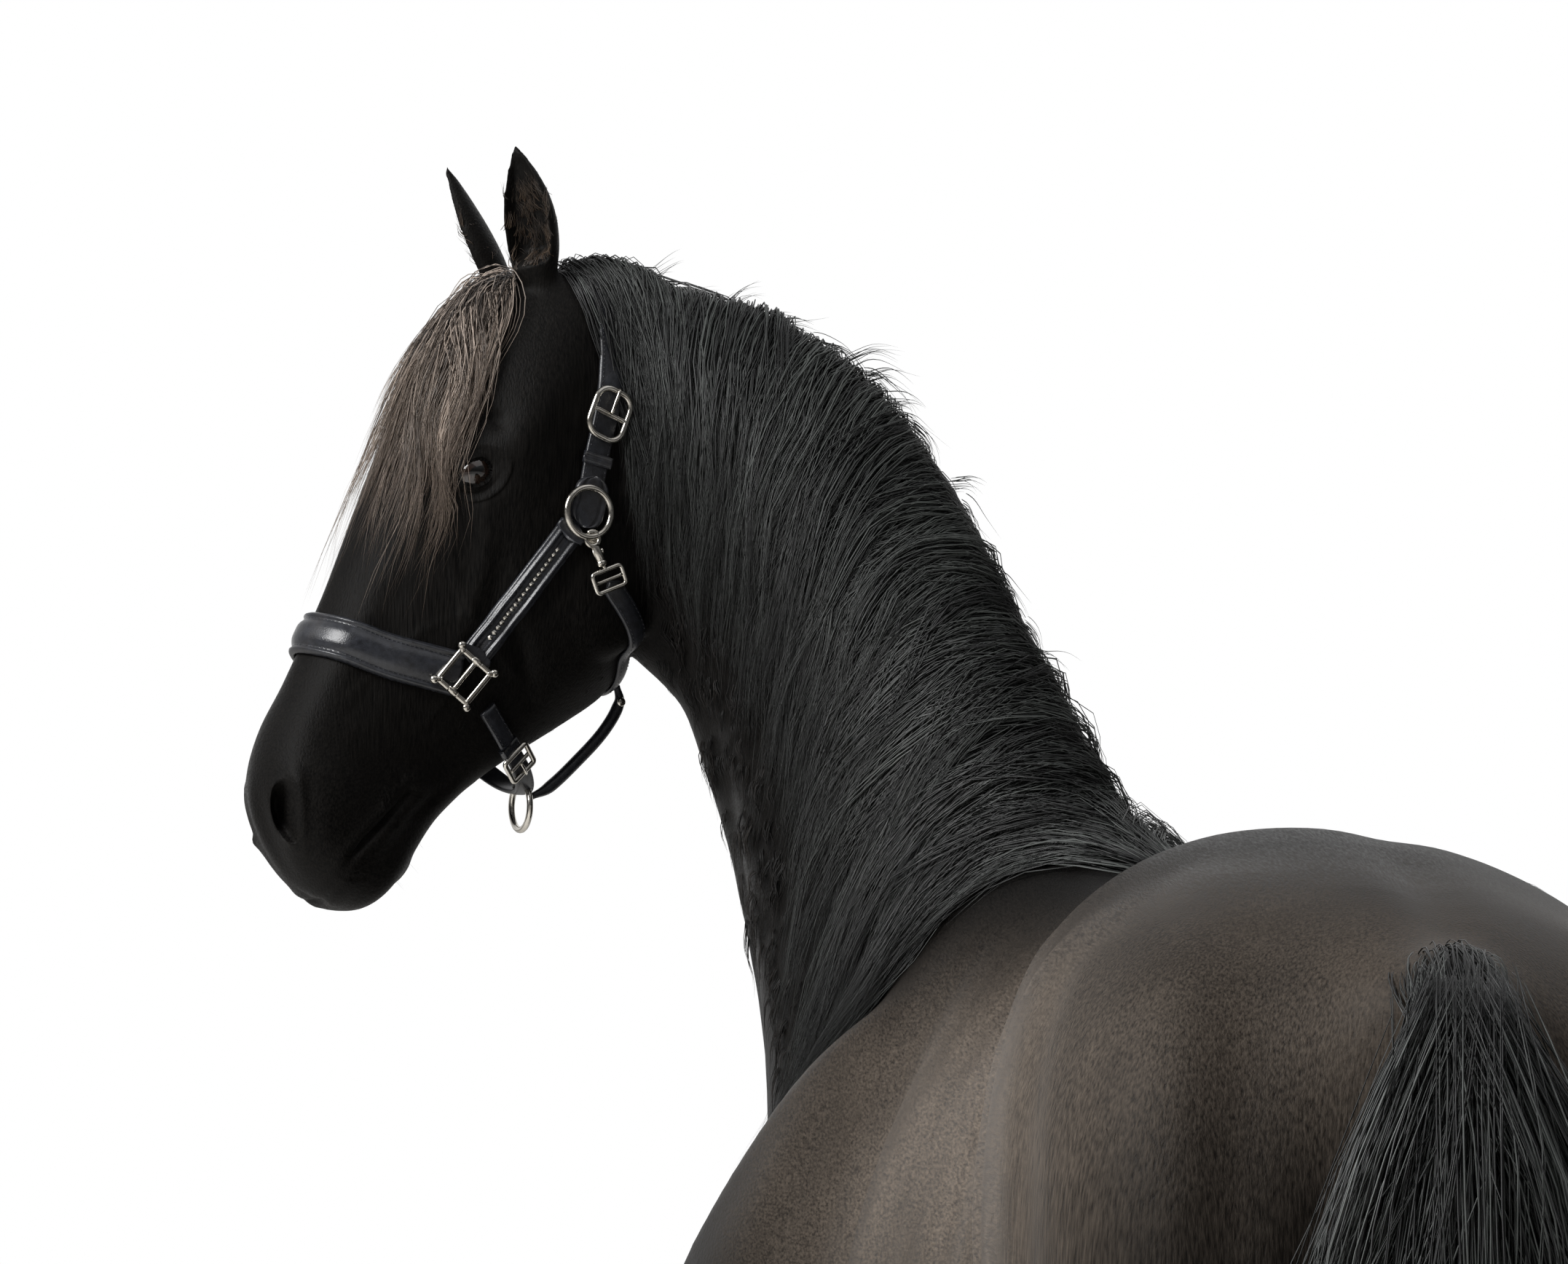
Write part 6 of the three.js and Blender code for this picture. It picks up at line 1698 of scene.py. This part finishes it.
for name, side in SIDES.items():
    ring_at = fitting(192, side * 107, 10.2, 0)
    bm = bmesh.new()
    wire(bm, placed(circle_points(22), ring_at), ring_at[1], 3.0)
    keep(f"cheek_ring_{name}", bm, "steel", f"cheek_ring_{name}")

    at = fitting(369, side * 88, 12, side * -12)
    bm = bmesh.new()
    wire(bm, placed(rounded_frame(17, 17, 3), at), at[1], 2.8, flat=0.85)
    bar(bm, [-17, 0, 0], [17, 0, 0], at, 2.4)
    for sx in (1, -1):
        for sy in (1, -1):
            # each corner ends in a lug with a ball
            bar(bm, [sx * 15, sy * 15, 0], [sx * 19.5, sy * 19.5, 0], at, 2.8, 0.1)
            copies(bm, [placed([sx * 19.5, sy * 19.5, 0.2], at)], [at[1]], [3.9, 3.9, 3.3], 3)
        bar(bm, [sx * 17, -5, 1.2], [sx * 17, 5, 1.2], at, 2.5, 0.35)
    keep(f"cheek_square_{name}", bm, "steel", f"cheek_square_{name}")

    loop, hook = fitting(234, side * 127, 9, side * 48), fitting(217, side * 117.5, 10, side * 48)
    bm = bmesh.new()
    wire(bm, placed(rounded_frame(9, 15, 3.5) + [2, 0, 0], loop), loop[1], 2.2)
    bar(bm, [2, -14, 0], [2, 14, 0], loop, 1.7)
    share = np.linspace(0, 1, 26)
    turn = np.radians(200 - 330 * share)
    bend = np.stack([-8 + 6.5 * np.cos(turn), 6.5 * np.sin(turn), 0 * share], 1)
    wire(bm, placed(bend, hook), hook[1], 2.3 * (1 - 0.45 * smoothstep(share, 0.75, 1)), closed=False)
    bar(bm, [-2, 0, 0], [14, 0, 0], hook, 3.6, 0.25)
    copies(bm, [placed([15, 0, 0], hook)], [hook[1]], [3.6, 5.0, 4.6], 3)
    copies(bm, [placed([5, 4.2, 1.6], hook)], [hook[1]], [2.6, 1.7, 1.7], 2)
    link = np.array([placed([15, 0, 0], hook), placed([-7, 0, 0], loop)])
    wire(bm, link[0] + (link[1] - link[0]) * np.linspace(0, 1, 5)[:, None], hook[1], 2.0, closed=False)
    keep(f"throat_snap_{name}", bm, "steel", f"throat_snap_{name}")

at = fitting(104, 95, 10.5, 5)
bm = bmesh.new()
wire(bm, placed(rounded_frame(22, 18, 13), at), at[1], 2.8)
bar(bm, [0, -17, 0], [0, 17, 0], at, 2.2)
tongue = np.array([[0, 0, 2.6], [-4, 0, 3.4], [-12, 0, 3.2], [-21, 0, 3.6], [-24, 0, 2.2]])
wire(bm, placed(resampled(tongue, 2), at), at[1], 1.7, closed=False)
keep("crown_buckle", bm, "steel", "crown_buckle")

# chin strap: from the squares down both sides to the ring under the jaw
CHIN_HALF = [  # place and outward direction, in the head's frame
    [384, -118, 68, 0, -0.2, 1],
    [398, -150, 56, 0, -0.5, 0.9],
    [412, -187, 32, 0.4, -0.7, 0.5],
    [419, -203, 0, 0.899, -0.438, 0],
]
chin_rows = np.array([*CHIN_HALF, *[[r[0], r[1], -r[2], r[3], r[4], -r[5]] for r in CHIN_HALF[-2::-1]]])
weights = [1, 1, 1, 30, 30, 30]  # a turn of the direction counts as 30 mm of way
rows = resampled(chin_rows * weights, 3.5) / weights
places = head_point(*rows[:, :3].T)
outs = unit(rows[:, 3:] @ HEAD_AXES)
run = unit(np.gradient(places, axis=0))
outs = unit(outs - run * (outs * run).sum(1)[:, None])
flat_line = (places, outs, unit(np.cross(run, outs)), lambda across: 0 * across)
bm = bmesh.new()
swept(bm, places - outs * 2, outs, strap_outline(18, 4.0, 0.8, 5))
stitches(bm, flat_line, (-6.6, 6.6), 2.0)
keeper_start = int(len(places) * 0.17)
keeper_rows = slice(keeper_start, keeper_start + 4)
swept(bm, places[keeper_rows] - outs[keeper_rows] * 3.2, outs[keeper_rows], strap_outline(22, 6.4))
keep("chin_strap", bm, "leather", "chin_strap")

bm = bmesh.new()
drop = unit(head_vector(0.899, -0.438, 0))
chin_axes = np.stack([unit(head_vector(0, 0, 1)), drop, unit(np.cross(head_vector(0, 0, 1), drop))])
chin_at = (head_point(419, -203, 0) + drop * 13, chin_axes)
wire(bm, placed(circle_points(21), chin_at), chin_axes, 3.0)
k = int(len(places) * 0.26)
buckle_at = (places[k] + outs[k] * 2.6, np.stack([run[k], np.cross(outs[k], run[k]), outs[k]]))
wire(bm, placed(rounded_frame(12, 14, 2.5), buckle_at), buckle_at[1], 2.4)
bar(bm, [0, -13, 0], [0, 13, 0], buckle_at, 1.9)
tongue = [[0, 0, 1.6], [5, 0, 2.8], [13, 0, 2.4], [14.5, 0, 1.2]]
wire(bm, placed(resampled(tongue, 2), buckle_at), buckle_at[1], 1.4, closed=False)
keep("chin_ring", bm, "steel", "chin_ring")

# rolled strap under the jaw: a round cord between flat ends
JAW_PATH = [[290, -244, 0], [302, -253, 0], [332, -251, 0], [370, -239, 0], [404, -225, 0], [418, -214, 0]]
jaw = head_point(*resampled(JAW_PATH, 3.0).T)
share = np.linspace(0, 1, len(jaw))
fat = 1 - 0.45 * (1 - smoothstep(share, 0, 0.16)) - 0.45 * smoothstep(share, 0.84, 1)
bm = bmesh.new()
wire(bm, jaw, HEAD_AXES, 5.5 * fat, closed=False, count=24)
keep("jaw_cord", bm, "leather", "jaw_cord")
bm = bmesh.new()
copies(bm, [jaw[5] + HEAD_AXES[2] * 4.6], [HEAD_AXES], [4.2, 4.2, 2.0], 3)
keep("jaw_stud", bm, "steel")

set_coords(skin.data, to_model(coords(skin.data)))


# ---- finishes
def wired(made, sockets):
    """Links outputs to a node's sockets, or sets a socket's value; _1 stands for the socket of that number."""
    for key, value in sockets.items():
        socket = made.inputs[int(key[1:]) if key[1:].isdigit() else key.replace("_", " ")]
        if isinstance(value, bpy.types.NodeSocket):
            made.id_data.links.new(value, socket)
        else:
            socket.default_value = value


def node(tree, kind, settings=None, out=0, **sockets):
    """Adds a node with its settings and links, and returns one of its outputs; stops are a ramp's places and greys."""
    made = tree.nodes.new("ShaderNode" + kind)
    for key, value in (settings or {}).items():
        if key == "stops":
            for element, (place, grey) in zip(made.color_ramp.elements, value):
                element.position, element.color = place, (grey, grey, grey, 1)
        else:
            setattr(made, key, value)
    wired(made, sockets)
    return made.outputs[out]


def finish_named(name):
    """A new material, the function that adds nodes to it, and its shader."""
    material = bpy.data.materials.new(name)
    material.use_nodes = True
    return material, partial(node, material.node_tree), material.node_tree.nodes["Principled BSDF"]


def per_metre(size):
    """The scale of a pattern whose grains are this many millimetres wide."""
    return 1000 / size


COLOURS = {"data_type": "RGBA"}  # a mix of colours: _0 is the share, _6 and _7 the two, and output 2 the result
SOFT_STEP = {"interpolation_type": "SMOOTHSTEP"}
TIMES = {"operation": "MULTIPLY"}

# Short black coat: nearly black, with a painted sheen of grey-brown down the sides of the trunk that leaves painted
# shade over the back, croup and belly, and with fine streaks that break up the sheen.
coat_finish, add, shader = finish_named("short black coat")
where = add("TexCoord", out="Object")
down_streaks, along_streaks, patches, dapples = [
    add(
        "TexNoise", Vector=add("Mapping", Vector=where, Scale=stretch),
        Scale=per_metre(size), Detail=detail, Roughness=0.55,
    )
    for size, stretch, detail in (
        (1.786, (1, 1, 0.05), 5),  # hairs down the quarters: one is too fine to show, so they are drawn as streaks
        (1.786, (1, 0.05, 0.8), 5),  # the same along the trunk
        (312.5, (1, 1, 0.8), 3),  # patches where the painted sheen is stronger or weaker, and where the hairs lie one way or the other
        (71.43, (1, 1, 0.6), 2),  # dapples
    )
]
lies_along = add("ValToRGB", {"stops": [(0.42, 0.0), (0.58, 1.0)]}, _0=patches)
streaks = add("Mix", COLOURS, 2, _0=lies_along, _6=down_streaks, _7=along_streaks)
pale_streaks = add("ValToRGB", {"stops": [(0.3, 0.0), (0.75, 1.0)]}, _0=streaks)
black = add("Mix", COLOURS, 2, _0=pale_streaks, _6=linear("#050505"), _7=linear("#1b1917"))
# painted sheen: the pale grey-brown that stands for light on the sides of the trunk
painted_sheen_coat = add("Mix", COLOURS, 2, _0=pale_streaks, _6=linear("#39322c"), _7=linear("#887b6e"))
_, back, height = add("SeparateXYZ", _0=where).node.outputs
# where the painted sheen lies: it fades out under the belly, into painted shade over the back and croup, towards the
# rear of the quarters and before the withers, and is broken into patches
above_legs = add("MapRange", SOFT_STEP, Value=height, From_Min=0.9, From_Max=1.46)
below_back = add("MapRange", SOFT_STEP, Value=height, From_Min=1.6, From_Max=1.44)
before_buttocks = add("MapRange", SOFT_STEP, Value=back, From_Min=0.82, From_Max=0.68)
behind_withers = add("MapRange", SOFT_STEP, Value=back, From_Min=-0.62, From_Max=-0.1)
uneven = add("ValToRGB", {"stops": [(0.35, 0.45), (0.65, 1.0)]}, _0=patches)
painted_sheen_share = add("Math", TIMES, _0=above_legs, _1=below_back)
for part in (before_buttocks, behind_withers, uneven):
    painted_sheen_share = add("Math", TIMES, _0=painted_sheen_share, _1=part)
coat_with_painted_sheen = add("Mix", COLOURS, 2, _0=painted_sheen_share, _6=black, _7=painted_sheen_coat)
in_dapple = add("ValToRGB", {"stops": [(0.3, 0.25), (0.7, 0.0)]}, _0=dapples)
relief = add("Mix", COLOURS, 2, _0=0.1, _6=streaks, _7=dapples)
wired(shader, {
    "Base Color": add("Mix", COLOURS, 2, _0=in_dapple, _6=coat_with_painted_sheen, _7=linear("#080707")),
    "Roughness": add("ValToRGB", {"stops": [(0.25, 0.38), (0.8, 0.62)]}, _0=streaks),
    "Specular IOR Level": 0.07,
    "Sheen Weight": 0.02,
    "Sheen Roughness": 0.4,
    "Normal": add("Bump", Strength=0.6, Distance=0.0016, Height=relief),
})


# Long black hair: strands of slightly different greys and browns, lighter towards their tips.
def hair_named(name, root, pale, tip, gloss, shine=0.65):
    material, add, shader = finish_named(name)
    tone = add("Attribute", {"attribute_name": "tone"}, "Fac")
    along = add("Attribute", {"attribute_name": "along"}, "Fac")
    where = add("TexCoord", out="Object")
    # duller and glossier lengths of a lock; the strands themselves are drawn in mesh, coarser than real ones
    lengths = add("Mapping", Vector=where, Scale=(1, 1, 0.15))
    fine = add("TexNoise", Vector=lengths, Scale=per_metre(3.846), Detail=3, Roughness=0.55)
    pale_strand = add("ValToRGB", {"stops": [(0.38, 0.0), (0.8, 1.0)]}, _0=tone)
    strand = add("Mix", COLOURS, 2, _0=pale_strand, _6=linear(root), _7=linear(pale))
    outer = add("ValToRGB", {"stops": [(0.3, 0.0), (1.0, 1.0)]}, _0=along)
    tipped = add("Mix", COLOURS, 2, _0=add("Math", TIMES, _0=outer, _1=0.6), _6=strand, _7=linear(tip))
    # painted shade: each strand darkens to its root colour near the skin, where it lies under the rest of the lock
    at_root = add("ValToRGB", {"stops": [(0.0, 1.0), (0.16, 0.0)]}, _0=along)
    root_shaded = add("Mix", COLOURS, 2, _0=at_root, _6=tipped, _7=linear(root))
    shaded = add("ValToRGB", {"stops": [(0.35, 0.35), (0.7, 0.0)]}, _0=fine)
    wired(shader, {
        "Base Color": add("Mix", COLOURS, 2, _0=shaded, _6=root_shaded, _7=linear(root)),
        "Roughness": add("ValToRGB", {"stops": [(0.3, gloss), (0.75, gloss + 0.16)]}, _0=fine),
        "Specular IOR Level": shine,
        "Normal": add("Bump", Strength=0.25, Distance=0.0005, Height=fine),
    })
    return material


hair_finish = hair_named("long black hair", "#050606", "#4e524f", "#272827", 0.42)
# Short coat hair: the coat's own black with a little of its brown.
short_finish = hair_named("short coat hair", "#080706", "#221e1b", "#1a1613", 0.45, 0.3)
# Ear fuzz: soft brown hair inside the cups of the ears.
fuzz_finish = hair_named("brown ear fuzz", "#1d1610", "#5a4632", "#463626", 0.5)
# Forelock hair: the same hair bleached brown by the sun where it stands over the brow, its pale beige strands also a
# painted highlight.
forelock_finish = hair_named("sun-browned forelock hair with painted highlight", "#1c1612", "#cdbcae", "#94806f", 0.42)

HAIR_FINISHES = {
    "forelock": forelock_finish,
    "forelock_side": forelock_finish,
    "ear_fuzz": fuzz_finish,
    "neck_curls": short_finish,
}

# Hoof horn: dark slate with upright fibres and rings of growth, darkened here and there by dust and stains.
horn_finish, add, shader = finish_named("dark hoof horn")
where = add("TexCoord", out="Object")
fibres, growth, blotches = [
    add(
        "TexNoise", Vector=add("Mapping", Vector=where, Scale=stretch),
        Scale=per_metre(size), Detail=3, Roughness=0.55,
    )
    for size, stretch in (
        (1.429, (1, 1, 0.06)),  # upright fibres, drawn coarser than the real tubes of horn
        (8.333, (0.12, 0.12, 1)),  # rings of growth
        (45.45, (1, 1, 1)),  # dust and stains
    )
]
pale_fibres = add("ValToRGB", {"stops": [(0.3, 0.0), (0.8, 1.0)]}, _0=fibres)
horn = add("Mix", COLOURS, 2, _0=pale_fibres, _6=linear("#231f1c"), _7=linear("#3d3630"))
pale_rings = add("ValToRGB", {"stops": [(0.4, 0.0), (0.75, 0.5)]}, _0=growth)
horn = add("Mix", COLOURS, 2, _0=pale_rings, _6=horn, _7=linear("#4d443b"))
stained = add("ValToRGB", {"stops": [(0.5, 0.0), (0.8, 0.6)]}, _0=blotches)
relief = add("Mix", COLOURS, 2, _0=0.5, _6=fibres, _7=growth)
wired(shader, {
    "Base Color": add("Mix", COLOURS, 2, _0=stained, _6=horn, _7=linear("#15120f")),
    "Roughness": add("ValToRGB", {"stops": [(0.25, 0.42), (0.8, 0.68)]}, _0=fibres),
    "Normal": add("Bump", Strength=0.4, Distance=0.0008, Height=relief),
})

# Wet eye: a wide dark brown iris with faint rays round a long level pupil, darker at its rim, under clear gloss.
eye_finish, add, shader = finish_named("wet dark brown eye")
gaze = add("Attribute", {"attribute_name": "gaze"}, "Vector")  # the place on the ball, in its radii
level, upright, _ = add("SeparateXYZ", _0=gaze).node.outputs
PUPIL_LONG, PUPIL_HIGH = 0.36, 0.2
across = add("Math", {"operation": "DIVIDE"}, _0=level, _1=PUPIL_LONG)
above = add("Math", {"operation": "DIVIDE"}, _0=upright, _1=PUPIL_HIGH)
across, above = [add("Math", TIMES, _0=part, _1=part) for part in (across, above)]
from_pupil = add("Math", {"operation": "ADD"}, _0=across, _1=above)
flat = add("CombineXYZ", _0=level, _1=upright)
radius = add("VectorMath", {"operation": "LENGTH"}, "Value", _0=flat)
angle = add("Math", {"operation": "ARCTAN2"}, _0=upright, _1=level)
round_ball = add("CombineXYZ", _0=angle, _1=radius)
ray_place = add("Mapping", Vector=round_ball, Scale=(3, 0.5, 1))
rays = add("TexNoise", Vector=ray_place, Scale=9, Detail=4, Roughness=0.55)
pale_rays = add("ValToRGB", {"stops": [(0.3, 0.0), (0.75, 1.0)]}, _0=rays)
iris = add("Mix", COLOURS, 2, _0=pale_rays, _6=linear("#110a07"), _7=linear("#2c1c13"))
rim = add("ValToRGB", {"stops": [(0.55, 0.0), (0.7, 1.0)]}, _0=radius)
iris = add("Mix", COLOURS, 2, _0=rim, _6=iris, _7=linear("#090605"))
beyond_iris = add("ValToRGB", {"stops": [(0.78, 0.0), (0.86, 1.0)]}, _0=radius)
ball_colour = add("Mix", COLOURS, 2, _0=beyond_iris, _6=iris, _7=linear("#4a3b33"))
in_pupil = add("ValToRGB", {"stops": [(0.8, 1.0), (1.0, 0.0)]}, _0=from_pupil)
wired(shader, {
    "Base Color": add("Mix", COLOURS, 2, _0=in_pupil, _6=ball_colour, _7=linear("#020202")),
    "Roughness": add("ValToRGB", {"stops": [(0.2, 0.05), (0.9, 0.11)]}, _0=rays),
    "Coat Weight": 1.0,
    "Coat Roughness": 0.02,
    "Normal": add("Bump", Strength=0.08, Distance=0.0002, Height=rays),
})

# Polished black leather: fine pebbled grain, dull in the creases, worn a little browner and smoother on the edges, its
# blue-grey paleness partly a painted sheen of the sky.
leather_finish, add, shader = finish_named("polished black leather")
where = add("TexCoord", out="Object")
pebbles = add(
    "TexVoronoi", {"feature": "SMOOTH_F1"}, "Distance", Vector=where, Scale=per_metre(1.111), Smoothness=0.6
)
creases = add("TexNoise", Vector=where, Scale=per_metre(6.25), Detail=6, Roughness=0.65)
wear = add("TexNoise", Vector=where, Scale=per_metre(35.71), Detail=4, Roughness=0.55)
pale_creases = add("ValToRGB", {"stops": [(0.3, 0.0), (0.75, 1.0)]}, _0=creases)
# painted reflection: the black hide's paler blue-grey tone stands in part for the sky's sheen on it
hide = add("Mix", COLOURS, 2, _0=pale_creases, _6=linear("#131418"), _7=linear("#303238"))
browned = add("ValToRGB", {"stops": [(0.52, 0.0), (0.8, 0.55)]}, _0=wear)
relief = add("Mix", COLOURS, 2, _0=0.4, _6=pebbles, _7=creases)
wired(shader, {
    "Base Color": add("Mix", COLOURS, 2, _0=browned, _6=hide, _7=linear("#2a2624")),
    "Roughness": add("ValToRGB", {"stops": [(0.3, 0.24), (0.8, 0.46)]}, _0=wear),
    "Specular IOR Level": 0.6,
    "Normal": add("Bump", Strength=0.35, Distance=0.0005, Height=relief),
})

# Polished nickel: bright warm-grey metal with fine scratches and duller handled patches.
nickel_finish, add, shader = finish_named("polished nickel")
where = add("TexCoord", out="Object")
brushed = add("Mapping", Vector=where, Scale=(1, 0.05, 0.4))
# scratches 1.1 mm wide, far coarser than real ones, so that they show
scratches = add("TexNoise", Vector=brushed, Scale=per_metre(1.111), Detail=5, Roughness=0.55)
handled = add("TexNoise", Vector=where, Scale=per_metre(16.67), Detail=4, Roughness=0.55)
dulled = add("ValToRGB", {"stops": [(0.4, 0.0), (0.75, 0.8)]}, _0=handled)
scratched = add("ValToRGB", {"stops": [(0.4, 0.0), (0.8, 0.7)]}, _0=scratches)
SMOOTH, ROUGH = (0.16, 0.16, 0.16, 1), (0.34, 0.34, 0.34, 1)
wired(shader, {
    "Base Color": add("Mix", COLOURS, 2, _0=dulled, _6=linear("#d4d0c8"), _7=linear("#a39d92")),
    "Metallic": 1.0,
    "Roughness": add("Mix", COLOURS, 2, _0=scratched, _6=SMOOTH, _7=ROUGH),
    "Normal": add("Bump", Strength=0.12, Distance=0.0002, Height=scratches),
})

FINISHES = {
    "coat": coat_finish,
    "hair": hair_finish,
    "horn": horn_finish,
    "eye": eye_finish,
    "leather": leather_finish,
    "steel": nickel_finish,
}
skin.data.materials.clear()
skin.data.materials.append(coat_finish)
for name, (obj, slot_name) in hair_parts.items():
    obj.data.materials.append(HAIR_FINISHES.get(name, coat_finish if slot_name == "coat" else hair_finish))
    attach(obj, "root")
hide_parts("tail")
for obj, slot_name, nodes in pieces.values():
    obj.data.materials.append(FINISHES[slot_name])
    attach(obj, "root")
    if nodes:
        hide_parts(*nodes)

# ---- camera and light
PHOTO_WIDTH, FOCAL_LENGTH = 2153, 8136  # in the photograph's pixels
camera = bpy.data.objects.new("camera", bpy.data.cameras.new("camera"))
bpy.context.scene.collection.objects.link(camera)
bpy.context.scene.camera = camera
yaw, pitch = math.radians(-0.62), math.radians(4.46)
look = Vector((math.sin(yaw) * math.cos(pitch), -math.cos(yaw) * math.cos(pitch), math.sin(pitch)))
camera.location = Vector(to_model([463, 3716, 1415]))
camera.rotation_euler = look.to_track_quat("-Z", "Y").to_euler()
camera.data.sensor_fit = "HORIZONTAL"
camera.data.sensor_width = 36
camera.data.lens = camera.data.sensor_width * FOCAL_LENGTH / PHOTO_WIDTH
camera.data.clip_end = 200

floor_bm = bmesh.new()
bmesh.ops.create_grid(floor_bm, x_segments=1, y_segments=1, size=40)
floor = new_object("floor", floor_bm)

# Plain pale floor: warm off-white with a faint mottle.
floor_finish, add, shader = finish_named("plain pale floor")
where = add("TexCoord", out="Object")
mottle = add("TexNoise", Vector=where, Scale=per_metre(250), Detail=4, Roughness=0.55)
wired(shader, {
    "Base Color": add("Mix", COLOURS, 2, _0=mottle, _6=linear("#e9e7e2"), _7=linear("#f4f2ee")),
    "Roughness": 0.8,
})
floor.data.materials.append(floor_finish)

# Soft studio light: a pale sky that is brightest overhead and before the camera, and dim behind it.
world = bpy.data.worlds.new("studio")
bpy.context.scene.world = world
world.use_nodes = True
add = partial(node, world.node_tree)
_, back, up = add("SeparateXYZ", _0=add("TexCoord", out="Generated")).node.outputs
forward = add("Math", {"operation": "MULTIPLY_ADD"}, _0=back, _1=-0.5, _2=0.5)
ahead = add("ValToRGB", {"stops": [(0.5, 0.075), (0.92, 1.0)]}, _0=forward)
overhead = add("ValToRGB", {"stops": [(0.25, 0.0), (0.95, 0.2)]}, _0=up)
sky = add("Mix", COLOURS, 2, _0=overhead, _6=ahead, _7=(1.25, 1.25, 1.3, 1))
wired(world.node_tree.nodes["Background"], {"Color": sky, "Strength": 1.0})

for label, place, aim, size, power in (  # metres and watts
    ("large window light from the upper left", [3.2, 1.9, 4.3], [0, 0.3, 1.4], 2.4, 260),
    ("soft light from above", [-0.8, 0.4, 4.6], [0, 0, 1.2], 3.0, 12),
):
    lamp = bpy.data.objects.new(label, bpy.data.lights.new(label, "AREA"))
    lamp.data.size, lamp.data.energy = size, power
    lamp.location = place
    lamp.rotation_euler = (Vector(aim) - Vector(place)).to_track_quat("-Z", "Y").to_euler()
    bpy.context.scene.collection.objects.link(lamp)
bpy.context.scene.view_settings.view_transform = "Standard"

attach(skin, "root")
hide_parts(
    "torso", "neck", "head", "ear_left", "ear_right",
    "foreleg_left", "foreleg_right", "hindleg_left", "hindleg_right",
)
